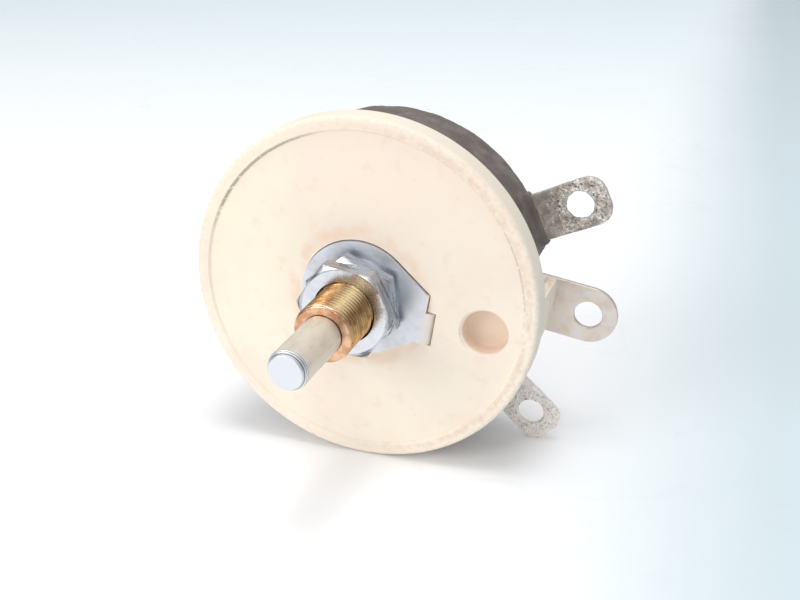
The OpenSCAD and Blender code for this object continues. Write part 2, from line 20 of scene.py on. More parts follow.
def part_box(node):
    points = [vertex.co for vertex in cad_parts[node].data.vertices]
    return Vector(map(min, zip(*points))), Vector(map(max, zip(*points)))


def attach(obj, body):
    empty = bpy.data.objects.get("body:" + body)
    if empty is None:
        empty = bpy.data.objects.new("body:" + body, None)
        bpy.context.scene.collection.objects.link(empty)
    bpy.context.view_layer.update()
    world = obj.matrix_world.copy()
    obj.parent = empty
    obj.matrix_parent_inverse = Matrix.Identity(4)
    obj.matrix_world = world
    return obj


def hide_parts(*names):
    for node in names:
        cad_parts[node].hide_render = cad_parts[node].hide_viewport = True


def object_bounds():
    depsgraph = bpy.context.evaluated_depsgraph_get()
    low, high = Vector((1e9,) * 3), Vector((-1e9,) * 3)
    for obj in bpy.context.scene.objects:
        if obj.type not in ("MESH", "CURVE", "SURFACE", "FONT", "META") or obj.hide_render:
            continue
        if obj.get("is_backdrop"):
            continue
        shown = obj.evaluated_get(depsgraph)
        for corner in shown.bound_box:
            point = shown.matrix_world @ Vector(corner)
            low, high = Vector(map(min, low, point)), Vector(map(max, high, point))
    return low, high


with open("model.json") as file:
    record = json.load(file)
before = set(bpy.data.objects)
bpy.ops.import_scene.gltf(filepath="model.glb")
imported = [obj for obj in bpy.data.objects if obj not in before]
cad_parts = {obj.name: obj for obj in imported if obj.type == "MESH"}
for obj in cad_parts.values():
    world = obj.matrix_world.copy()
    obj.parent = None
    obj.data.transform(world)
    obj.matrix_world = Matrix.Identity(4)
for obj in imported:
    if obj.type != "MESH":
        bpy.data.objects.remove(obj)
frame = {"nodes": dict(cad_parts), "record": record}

LOG = logging.getLogger("rheostat")
MM = 0.001
TURN = 2 * math.pi
Colour = tuple[float, float, float]
Profile = Sequence[tuple[float, float]]


class Body(Enum):
    """The two bodies of the part."""

    FRAME = "frame"
    WIPER = "wiper"


class Cut(Enum):
    """Ways in which one solid works on another."""

    JOIN = "UNION"
    TAKE = "DIFFERENCE"
    KEEP = "INTERSECT"


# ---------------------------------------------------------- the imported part


class Layout:
    """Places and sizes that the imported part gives, in millimetres with the shaft upright."""

    def __init__(self, record: dict[str, Any]) -> None:
        """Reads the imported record.

        Args:
            record: The record, whose mounts give the places.
        """
        self.mounts = {mount["name"]: mount for mount in record["mounts"]}
        self.roll = self.polar("locating_hole")[1]
        lay = Matrix.Rotation(math.pi / 2, 4, "X") @ Matrix.Rotation(self.roll, 4, "Z")
        self.place = lay @ Matrix.Scale(MM, 4)

    def polar(self, name: str) -> tuple[float, float]:
        """Distance from the shaft and angle from +X of a mount."""
        x, _, z = self.mounts[name]["pos_m"]
        return math.hypot(x, z) / MM, math.atan2(z, x)

    def hole(self, name: str) -> tuple[float, float, float]:
        """Distance, angle from the centre terminal and radius of a round mount."""
        distance, angle = self.polar(name)
        return distance, angle - self.roll, self.mounts[name]["dims"]["r_mm"]

    def span(self, node: str) -> tuple[float, float]:
        """Rear and front level of a CAD node."""
        low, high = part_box(node)
        return -high.y / MM, -low.y / MM

    def laid(self, name: str) -> tuple[float, float]:
        """A mount's place across and up the laid object."""
        x, _, z = self.mounts[name]["pos_m"]
        return x / MM, z / MM

    def radius(self, node: str) -> float:
        """Radius of a round CAD node."""
        low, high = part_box(node)
        return (high.x - low.x) / 2 / MM


LAYOUT = Layout(frame["record"])


# ---------------------------------------------------------------- shader kit


class Socket:
    """A shader socket that can be used in Python sums; each sum adds its Math node."""

    def __init__(self, shade: "Shade", out: bpy.types.NodeSocket) -> None:
        """Keeps the material under work and the socket that it stands for."""
        self.shade = shade
        self.out = out

    def math(self, operation: str, *values: "Value", clamp: bool = False) -> "Socket":
        """Adds one Math node.

        Args:
            operation: The node's operation.
            values: Its inputs, in order.
            clamp: Whether the result is held between 0 and 1.

        Returns:
            The node's result.
        """
        settings = {"operation": operation, "use_clamp": clamp}
        return self.shade.node("ShaderNodeMath", settings, dict(enumerate(values)))

    def __add__(self, other: "Value") -> "Socket":
        """self + other."""
        return self.math("ADD", self, other)

    __radd__ = __add__

    def __sub__(self, other: "Value") -> "Socket":
        """self - other."""
        return self.math("SUBTRACT", self, other)

    def __rsub__(self, other: "Value") -> "Socket":
        """other - self."""
        return self.math("SUBTRACT", other, self)

    def __mul__(self, other: "Value") -> "Socket":
        """self * other."""
        return self.math("MULTIPLY", self, other)

    __rmul__ = __mul__

    def __truediv__(self, other: "Value") -> "Socket":
        """self / other."""
        return self.math("DIVIDE", self, other)

    def __pow__(self, other: "Value") -> "Socket":
        """self ** other."""
        return self.math("POWER", self, other)

    def __abs__(self) -> "Socket":
        """abs(self)."""
        return self.math("ABSOLUTE", self)

    def step(self, low: float, high: float) -> "Socket":
        """Rises smoothly from 0 at low to 1 at high, or falls where high is the lesser.

        Args:
            low: Value that gives 0.
            high: Value that gives 1.

        Returns:
            A mask from 0 to 1.
        """
        settings = {"interpolation_type": "SMOOTHSTEP"}
        if low < high:
            return self.shade.node("ShaderNodeMapRange", settings, {0: self, 1: low, 2: high})
        return 1 - self.shade.node("ShaderNodeMapRange", settings, {0: self, 1: high, 2: low})

    def near(self, middle: float, width: float) -> "Socket":
        """A soft band that is 1 at middle and 0 further than width from it."""
        return abs(self - middle).step(width, width * 0.2)


Value = Union[Socket, float, Sequence[float]]


class Shade:
    """One node material under work, with its coordinates in millimetres of the laid object."""

    def __init__(self, name: str) -> None:
        """Starts a material with one Principled shader.

        Args:
            name: The material's name.
        """
        self.material = bpy.data.materials.new(name)
        self.material.use_nodes = True
        self.tree = self.material.node_tree
        self.shader = next(n for n in self.tree.nodes if n.type == "BSDF_PRINCIPLED")
        where = self.node("ShaderNodeTexCoord", out="Object")
        self.at = self.node("ShaderNodeVectorMath", {"operation": "SCALE"}, {0: where, "Scale": 1 / MM})
        self.x = self.node("ShaderNodeSeparateXYZ", inputs={0: self.at}, out="X")
        self.y = self.node("ShaderNodeSeparateXYZ", inputs={0: self.at}, out="Y")
        self.z = self.node("ShaderNodeSeparateXYZ", inputs={0: self.at}, out="Z")

    def node(
        self,
        kind: str,
        settings: Optional[dict[str, Any]] = None,
        inputs: Optional[dict[Any, Value]] = None,
        out: Union[int, str] = 0,
    ) -> Socket:
        """Adds any node.

        Args:
            kind: The node's type name.
            settings: Its properties, which are set first.
            inputs: Values or sockets by the name or number of the node's inputs.
            out: The output that is wanted.

        Returns:
            That output.
        """
        added = self.tree.nodes.new(kind)
        for key, value in (settings or {}).items():
            setattr(added, key, value)
        for key, value in (inputs or {}).items():
            self.feed(added.inputs[key], value)
        return Socket(self, added.outputs[out])

    def feed(self, target: bpy.types.NodeSocket, value: Value) -> None:
        """Links a socket to target, or writes a constant on it.

        Args:
            target: The input that is fed.
            value: A socket, a number or a colour.
        """
        if isinstance(value, Socket):
            self.tree.links.new(value.out, target)
        elif isinstance(value, (int, float)):
            target.default_value = value
        elif len(target.default_value) == 4:
            target.default_value = (*value, 1)
        else:
            target.default_value = value

    def mix(self, mask: Value, low: Value, high: Value) -> Socket:
        """Blends two colours, low where mask is 0 and high where it is 1."""
        return self.node("ShaderNodeMix", {"data_type": "RGBA"}, {0: mask, 6: low, 7: high}, out=2)

    def noise(self, size: float, detail: float = 3, stretch: Colour = (1, 1, 1), offset: float = 0) -> Socket:
        """Cloudy noise.

        Args:
            size: Rough size of its blots in millimetres.
            detail: Octaves of finer noise.
            stretch: How much longer the blots are along each axis.
            offset: Moves the pattern, so that two layers differ.

        Returns:
            A value about 0.5 with a spread of about 0.15.
        """
        scale = [1 / s for s in stretch]
        at = self.node(
            "ShaderNodeMapping", inputs={"Vector": self.at, "Scale": scale, "Location": [offset] * 3}
        )
        return self.node("ShaderNodeTexNoise", inputs={"Vector": at, "Scale": 1 / size, "Detail": detail})

    def specks(self, apart: float, radius: float, share: float) -> Socket:
        """Small round spots.

        Args:
            apart: Rough distance between places where a spot may be, in millimetres.
            radius: Radius of the largest spots in millimetres.
            share: Share of the places that have one.

        Returns:
            A mask from 0 to 1.
        """
        inputs = {"Vector": self.at, "Scale": 1 / apart}
        distance = self.node("ShaderNodeTexVoronoi", inputs=inputs)
        pick = self.node("ShaderNodeTexVoronoi", inputs=inputs, out="Color")
        chance = self.node("ShaderNodeSeparateColor", inputs={0: pick})
        size = (share - chance) * (radius / apart / share)
        return ((size - distance) * (apart / radius * 2)).math(
            "MAXIMUM", (size - distance) * 8, 0.0, clamp=True
        )

    def radius(self) -> Socket:
        """Distance from the shaft's axis."""
        return (self.x * self.x + self.z * self.z) ** 0.5

    def angle(self) -> Socket:
        """Angle round the shaft's axis, in radians from +X."""
        return self.x.math("ARCTAN2", self.z, self.x)

    def bump(self, height: Socket, depth: float, below: Optional[Socket] = None) -> Socket:
        """Turns a height into a surface normal.

        Args:
            height: Height from 0 to 1.
            depth: What 1 stands for, in millimetres.
            below: The normal of a coarser layer, if any.

        Returns:
            The bent normal.
        """
        inputs: dict[Any, Value] = {"Height": height, "Distance": depth * MM, "Strength": 1.0}
        if below is not None:
            inputs["Normal"] = below
        return self.node("ShaderNodeBump", inputs=inputs)

    def surface(self, **sockets: Value) -> bpy.types.Material:
        """Feeds the Principled shader, whose socket names have underscores for spaces.

        Args:
            sockets: Value or socket for each input.

        Returns:
            The finished material.
        """
        for key, value in sockets.items():
            self.feed(self.shader.inputs[key.replace("_", " ")], value)
        return self.material


# ------------------------------------------------------------------ finishes


@dataclass(frozen=True)
class Finish:
    """A finish: a material slot of the part, and how its surface looks."""

    slot: str
    variant: str = ""

    def shade(self) -> bpy.types.Material:
        """Builds the material."""
        raise NotImplementedError

    def name(self) -> str:
        """The material's name."""
        return "finish_" + self.slot + self.variant

    def material(self) -> bpy.types.Material:
        """The material, built once."""
        return bpy.data.materials.get(self.name()) or self.shade()


@dataclass(frozen=True)
class BareCeramic(Finish):
    """Unglazed pressed ceramic with specks and faint stains, painted shade in the step inside its rim, on its
    side wall and down the locating hole, and painted light on its lower part.
    """

    cream: Colour = (0.955, 0.85, 0.715)
    yellow: Colour = (0.96, 0.875, 0.69)
    blush: Colour = (0.945, 0.8, 0.68)
    # Painted shade colour for the outer side wall.
    side: Colour = (0.85, 0.775, 0.655)
    head: Colour = (0.955, 0.805, 0.67)
    # Painted light colour for the lower part, standing in for light thrown up from the sheet.
    foot_bounce_light: Colour = (0.97, 0.875, 0.735)
    # Used for real stains and for painted shade in the rim's step.
    stain_and_shade: Colour = (0.72, 0.5, 0.36)
    # Painted shade colour for the step inside the rim.
    step_shade: Colour = (0.2, 0.17, 0.15)
    step_r: float = 27.0
    rim_r: float = 29.35
    weathered_and_shaded: bool = True

    def weather_and_shade(self, s: Shade, colour: Socket) -> Socket:
        """Adds handling marks, and painted shade on the side wall, in the rim's step and down the locating
        hole.

        Args:
            s: The material under work.
            colour: The clean colour.

        Returns:
            The colour with marks and painted shade.
        """
        r = s.radius()
        # Painted shade: the outer side wall is darker.
        colour = s.mix(r.step(self.rim_r - 0.5, self.rim_r - 0.1) * 0.85, colour, self.side)
        halo = r.near(11.0, 1.9) * s.noise(3, 3, offset=9).step(0.28, 0.6) * (1 - s.y.step(1, 3))
        colour = s.mix(halo * 0.6, colour, (0.93, 0.68, 0.5))
        wear_and_highlight = r.near(28.0, 1.0) * s.noise(1.0, 4, offset=5).step(0.42, 0.68)
        colour = s.mix(wear_and_highlight * (0.12 + s.x.step(0, 25) * 0.25), colour, self.stain_and_shade)
        edge = r.near(28.95, 0.4) * s.noise(0.7, 3, offset=15).step(0.45, 0.62) * (1 - s.y.step(0.6, 1.6))
        colour = s.mix(edge * 0.16, colour, (0.5, 0.36, 0.28))
        # Painted shade: a broken dark line in the step inside the rim, mostly on the upper left and faintly on
        # the right.
        where = s.angle().near(2.3, 0.6) + s.angle().near(0.25, 0.6) * 0.35
        line = r.near(self.step_r, 0.3) * where * s.noise(0.8, 3, offset=3).step(0.3, 0.5)
        colour = s.mix(line.math("MINIMUM", line, 0.5), colour, self.step_shade)
        # Painted shade: a soft darker band across the step inside the rim on the right-hand half.
        band = r.near(27.6, 0.9) * s.noise(1.4, 3, offset=17).step(0.3, 0.6) * s.x.step(-12, 14)
        colour = s.mix(band * 0.3, colour, self.stain_and_shade)
        # Painted shade: the locating hole grows darker and browner deeper down.
        hole_x, hole_z = LAYOUT.laid("locating_hole")
        across, up = s.x - hole_x, s.z - hole_z
        hole_shade = ((across * across + up * up) ** 0.5).step(4.1, 3.6) * s.y.step(-0.4, 0.7)
        return s.mix(hole_shade * 0.6, colour, (0.84, 0.64, 0.5))

    def shade(self) -> bpy.types.Material:
        """Builds the material.

        Returns:
            The material.
        """
        s = Shade(self.name())
        colour = s.mix(s.x.step(4, -27) * 0.8, self.cream, self.yellow)
        # Painted light: brighter towards the bottom, for light thrown up from the sheet.
        colour = s.mix(s.z.step(4, -20), colour, self.foot_bounce_light)
        colour = s.mix(s.z.step(4, 22) * s.x.step(-20, 0) * 0.8, colour, self.head)
        colour = s.mix(s.noise(11, 2).step(0.4, 0.68) * 0.6, colour, self.blush)
        colour = s.mix(s.noise(2.4, 5, offset=40).step(0.55, 0.8) * 0.16, colour, self.stain_and_shade)
        if self.weathered_and_shaded:
            colour = self.weather_and_shade(s, colour)
        colour = s.mix(s.specks(1.5, 0.17, 0.4) * 0.5, colour, (0.5, 0.3, 0.2))
        colour = s.mix(s.specks(4.6, 0.3, 0.35) * 0.6, colour, (0.42, 0.3, 0.2))
        grain = s.noise(0.16, 3)
        normal = s.bump(grain, 0.03, s.bump(s.noise(3.1, 3, offset=7), 0.07))
        rough = 0.52 + grain * 0.2
        return s.surface(Base_Color=colour, Roughness=rough, Normal=normal, Specular_IOR_Level=0.3)


@dataclass(frozen=True)
class FiredEnamel(Finish):
    """Satin vitreous enamel that shows the turns of wire below it."""

    brown: Colour = (0.135, 0.11, 0.098)
    pale: Colour = (0.21, 0.178, 0.16)
    turns: int = 340

    def shade(self) -> bpy.types.Material:
        """Builds the material.

        Returns:
            The material.
        """
        s = Shade(self.name())
        cloud = s.noise(3.5, 4)
        round_about = s.angle() * float(self.turns)
        ribs = round_about.math("SINE", round_about)
        colour = s.mix(cloud.step(0.4, 0.72), self.brown, self.pale)
        colour = s.mix(s.specks(1.3, 0.16, 0.4) * 0.7, colour, (0.05, 0.04, 0.036))
        height = ribs * 0.5 * s.noise(5, 2, offset=3).step(0.35, 0.6)
        normal = s.bump(height, 0.03, s.bump(s.noise(0.9, 4, offset=8), 0.14))
        rough = 0.4 + s.noise(0.7, 3, offset=2) * 0.3
        return s.surface(Base_Color=colour, Roughness=rough, Normal=normal, Specular_IOR_Level=0.4)


@dataclass(frozen=True)
class PlatedSheet(Finish):
    """Plated metal with cloudy gloss, fine rolling lines and a few dull spots; where asked for, painted shade
    and reflection streaks on a nut's side faces and a painted reflection of the ceramic on a bent tab.
    """

    metal: Colour = (0.7, 0.72, 0.77)
    dull: Colour = (0.5, 0.52, 0.56)
    tarnish: Colour = (0.66, 0.66, 0.64)
    tarnished: float = 0.3
    rough: float = 0.1
    spread: float = 0.22
    clouds: float = 2.2
    pits: float = 0.3
    side_shade_streaks: float = 0.0
    side_r: float = 0.0
    tab_reflection_from: float = 0.0

    def shade(self) -> bpy.types.Material:
        """Builds the material.

        Returns:
            The material.
        """
        s = Shade(self.name())
        cloud = s.noise(self.clouds, 4)
        lines = s.noise(0.12, 2, stretch=(14, 1, 2))
        colour = s.mix(cloud.step(0.45, 0.75) * 0.5, self.metal, self.dull)
        colour = s.mix(
            s.noise(self.clouds * 0.8, 3, offset=21).step(0.45, 0.65) * self.tarnished, colour, self.tarnish
        )
        colour = s.mix(s.specks(0.9, 0.12, 0.4) * self.pits, colour, [c * 0.35 for c in self.dull])
        metallic: Value = 1.0
        # Painted shade and reflection: a nut's side faces are darkened, and dark streaks stand in for
        # reflections of the darker room.
        if self.side_shade_streaks:
            cuts = s.noise(0.3, 3, stretch=(16, 1, 16), offset=14).step(0.5, 0.66)
            side = s.radius().step(self.side_r - 0.1, self.side_r + 0.02)
            colour = s.mix(side * 0.6, colour, (0.4, 0.4, 0.41))
            colour = s.mix(cuts * side * self.side_shade_streaks, colour, (0.1, 0.1, 0.11))
        # Painted reflection: the bent tab takes the beige of the ceramic that it reflects, and is made less
        # metallic.
        if self.tab_reflection_from:
            along = s.x * math.cos(LAYOUT.roll) + s.z * math.sin(LAYOUT.roll)
            bend = along.step(self.tab_reflection_from, self.tab_reflection_from + 0.5)
            colour = s.mix(bend * 0.8, colour, (0.85, 0.76, 0.68))
            metallic = 1 - bend * 0.6
        rough = self.rough + cloud * self.spread + lines * 0.1
        normal = s.bump(lines, 0.004, s.bump(s.noise(1.3, 3, offset=6), 0.016))
        return s.surface(Base_Color=colour, Roughness=rough, Metallic=metallic, Normal=normal)


@dataclass(frozen=True)
class TurnedBrass(Finish):
    """Turned brass: golden on the thread with a painted highlight on its upper right, painted shade in its
    roots, coppery on the end ring.
    """

    gold: Colour = (0.58, 0.345, 0.15)
    aged: Colour = (0.27, 0.125, 0.05)
    # Painted highlight colour for the thread's upper right.
    wear_and_highlight: Colour = (1.0, 0.79, 0.45)
    # Painted shade colour for the thread's roots.
    root: Colour = (0.07, 0.035, 0.012)
    copper: Colour = (0.58, 0.31, 0.18)
    root_r: float = 4.36
    crest_r: float = 4.76
    ring_y: float = -14.6

    def shade(self) -> bpy.types.Material:
        """Builds the material.

        Returns:
            The material.
        """
        s = Shade(self.name())
        cloud = s.noise(1.3, 4)
        depth = s.radius().step(self.crest_r - 0.03, self.root_r)
        colour = s.mix(cloud.step(0.38, 0.7) * 0.8, self.gold, self.aged)
        # Painted highlight: a bright band on the thread's upper right.
        colour = s.mix(s.angle().near(1.05, 0.5) * 0.9, colour, self.wear_and_highlight)
        thread = s.y.step(self.ring_y - 0.05, self.ring_y + 0.25)
        # Painted shade: the thread's roots are darkened.
        colour = s.mix(depth * 0.9 * thread, colour, self.root)
        colour = s.mix(1 - thread, colour, s.mix(cloud.step(0.4, 0.6), self.copper, (0.8, 0.5, 0.32)))
        normal = s.bump(s.noise(0.09, 2), 0.006)
        return s.surface(Base_Color=colour, Roughness=0.14 + cloud * 0.18, Metallic=1.0, Normal=normal)


@dataclass(frozen=True)
class TurnedShaft(Finish):
    """Dull plated steel with long faint marks, bright where its end was faced and bevelled, with a painted
    highlight beside the bushing.
    """

    dull: Colour = (0.78, 0.74, 0.66)
    aged: Colour = (0.6, 0.565, 0.49)
    bright: Colour = (0.74, 0.765, 0.8)
    ring_gap: float = 0.34
    nose: float = 1.1

    def shade(self) -> bpy.types.Material:
        """Builds the material.

        Returns:
            The material.
        """
        s = Shade(self.name())
        cloud = s.noise(1.8, 4, stretch=(1, 3, 1))
        marks = s.noise(0.25, 3, stretch=(1, 9, 1), offset=4)
        tip = -LAYOUT.span("shaft")[1]
        nose = s.y.step(tip + self.nose + 0.05, tip + self.nose - 0.1)
        colour = s.mix(cloud.step(0.42, 0.72) * 0.6, self.dull, self.aged)
        colour = s.mix(marks.step(0.58, 0.75) * 0.35, colour, (0.4, 0.37, 0.31))
        # Painted highlight: a bright patch on the shaft's right side next to the bushing.
        rubbed_and_highlight = s.y.step(-19.0, -16.5) * s.angle().near(-0.1, 0.6) * s.noise(1.2, 3, offset=8).step(
            0.35, 0.5
        )
        colour = s.mix(nose.math("MAXIMUM", nose, rubbed_and_highlight * 0.9), colour, self.bright)
        cut = (s.y - tip) * (TURN / self.ring_gap)
        cuts = cut.math("SINE", cut).step(-0.3, 0.5) * nose * s.y.step(tip + 0.1, tip + 0.18)
        colour = s.mix(cuts * 0.85, colour, (0.13, 0.12, 0.11))
        faced = s.radius() * 22.0
        rings = faced.math("SINE", faced)
        rough = 0.42 + cloud * 0.16 - nose * 0.14 - rubbed_and_highlight * 0.15
        normal = s.bump(rings * 0.5 * nose, 0.008, s.bump(marks, 0.012))
        return s.surface(Base_Color=colour, Roughness=rough, Metallic=0.85, Normal=normal)


@dataclass(frozen=True)
class SolderedTin(Finish):
    """Tinned strip under old solder: grey-beige, with dark pits and bright beads round its hole."""

    tin: Colour = (0.66, 0.6, 0.54)
    crust: Colour = (0.46, 0.405, 0.36)
    pit: Colour = (0.09, 0.07, 0.05)
    bead: Colour = (0.93, 0.91, 0.86)
    metallic: float = 0.85
    hole: str = "upper_lug_hole"

    def shade(self) -> bpy.types.Material:
        """Builds the material.

        Returns:
            The material.
        """
        s = Shade(self.name())
        hole_x, hole_z = LAYOUT.laid(self.hole)
        across, up = s.x - hole_x, s.z - hole_z
        near = ((across * across + up * up) ** 0.5).step(6.4, 3.0)
        cloud = s.noise(1.6, 5)
        fine = s.noise(0.42, 4, offset=12)
        grains = s.noise(0.2, 3, offset=31)
        pits = (fine * 0.6 + grains * 0.4).step(0.53, 0.62) * (0.25 + near * 0.75)
        beads = (fine * 0.55 + cloud * 0.45).step(0.47, 0.38) * (0.4 + near * 0.6)
        colour = s.mix(cloud.step(0.42, 0.62), self.tin, self.crust)
        colour = s.mix(beads * 0.9, colour, self.bead)
        colour = s.mix(pits * 0.9, colour, self.pit)
        rough = 0.55 - beads * 0.33 + pits * 0.2
        normal = s.bump(grains, 0.07, s.bump(fine * (0.3 + near * 0.7), 0.3))
        return s.surface(
            Base_Color=colour, Roughness=rough, Metallic=self.metallic - pits * 0.4, Normal=normal
        )


@dataclass(frozen=True)
class WoundWire(Finish):
    """Oxidised alloy wire, rubbed bright where the brush passes."""

    oxide: Colour = (0.2, 0.17, 0.15)
    rubbed_and_highlight: Colour = (0.66, 0.63, 0.58)
    track_r: float = 21.85
    track_y: float = 18.9

    def shade(self) -> bpy.types.Material:
        """Builds the material.

        Returns:
            The material.
        """
        s = Shade(self.name())
        cloud = s.noise(0.8, 3)
        track = s.radius().near(self.track_r, 2.4) * s.y.step(self.track_y - 0.12, self.track_y)
        colour = s.mix(cloud, self.oxide, (0.34, 0.3, 0.26))
        colour = s.mix(track, colour, self.rubbed_and_highlight)
        normal = s.bump(s.noise(0.1, 2), 0.01)
        return s.surface(Base_Color=colour, Roughness=0.55 - track * 0.25, Metallic=0.9, Normal=normal)


@dataclass(frozen=True)
class Graphite(Finish):
    """Pressed metal graphite, dark and fine grained."""

    def shade(self) -> bpy.types.Material:
        """Builds the material.

        Returns:
            The material.
        """
        s = Shade(self.name())
        grain = s.noise(0.12, 3)
        colour = s.mix(grain.step(0.5, 0.7), (0.02, 0.02, 0.022), (0.16, 0.12, 0.1))
        return s.surface(
            Base_Color=colour, Roughness=0.45 + grain * 0.2, Metallic=0.3, Normal=s.bump(grain, 0.02)
        )


@dataclass(frozen=True)
class Sheet(Finish):
    """The sheet on the bench: white near the lamp, with painted shade that turns it darker and pale blue
    further from it.
    """

    white: Colour = (0.965, 0.97, 0.975)
    blue: Colour = (0.62, 0.72, 0.755)
    back: Colour = (0.86, 0.965, 0.99)

    def shade(self) -> bpy.types.Material:
        """Builds the material.

        Returns:
            The material.
        """
        s = Shade(self.name())
        # Painted shade: the sheet darkens towards pale blue to the right, further from the front lamp.
        away = (s.x * 4.0 + s.y * 0.2 + s.noise(90, 2) * 60).step(100, 320)
        back = s.y.step(60, 480) * (1 - away)
        colour = s.mix(back, s.mix(away, self.white, self.blue), self.back)
        colour = s.mix(s.specks(46, 0.35, 0.35) * 0.5, colour, (0.5, 0.45, 0.4))
        crease = abs(s.noise(70, 3, offset=11) - 0.5).step(0.006, 0.001)
        colour = s.mix(crease * 0.06, colour, (0.6, 0.6, 0.65))
        return s.surface(Base_Color=colour, Roughness=0.85, Specular_IOR_Level=0.2)


BASE_CERAMIC = BareCeramic("base_ceramic")
CORE_CERAMIC = BareCeramic(
    "core_ceramic", cream=(0.82, 0.77, 0.67), yellow=(0.8, 0.76, 0.65), weathered_and_shaded=False
)
HUB_CERAMIC = BareCeramic("hub_ceramic", cream=(0.86, 0.82, 0.72), yellow=(0.86, 0.82, 0.72), weathered_and_shaded=False)
ENAMEL = FiredEnamel("enamel")
WIRE = WoundWire("resistance_wire")
ZINC = PlatedSheet("zinc")
# The nut finish carries painted shade and reflection streaks on the side faces.
ZINC_NUT = PlatedSheet("zinc", "_nut", side_shade_streaks=0.85, side_r=7.05)
# The plate's bent end carries a painted reflection of the ceramic.
ZINC_PLATE = PlatedSheet("zinc", "_plate", rough=0.34, spread=0.12, tab_reflection_from=11.0)
LUG_TIN = SolderedTin("tinned_lug")
LUG_TIN_BRIGHT = SolderedTin(
    "tinned_lug", "_bright", tin=(0.97, 0.93, 0.89), crust=(0.93, 0.86, 0.8), pit=(0.42, 0.33, 0.24),
    metallic=0.5,
    hole="lower_lug_hole",
)
LUG_PLATE = PlatedSheet(
    "plated_lug", metal=(0.72, 0.65, 0.58), dull=(0.62, 0.5, 0.4), tarnish=(0.7, 0.7, 0.74), tarnished=0.7,
    rough=0.26, pits=0.5,
)
BRASS = TurnedBrass("brass")
SHAFT_PLATE = TurnedShaft("shaft_plate")
BRONZE = PlatedSheet(
    "bronze", metal=(0.74, 0.5, 0.3), dull=(0.45, 0.3, 0.18), tarnish=(0.6, 0.36, 0.2), rough=0.25
)
STEEL = PlatedSheet("steel", metal=(0.6, 0.61, 0.63), dull=(0.36, 0.36, 0.37), rough=0.24)
SPRING_STEEL = PlatedSheet("spring_steel", metal=(0.55, 0.55, 0.55), dull=(0.34, 0.33, 0.32), rough=0.3)
BRAID = PlatedSheet(
    "copper_braid", metal=(0.8, 0.45, 0.28), dull=(0.4, 0.2, 0.12), tarnish=(0.6, 0.3, 0.18), rough=0.3
)
CARBON = Graphite("graphite")
PAPER = Sheet("bench_sheet")


# -------------------------------------------------------------- the workshop


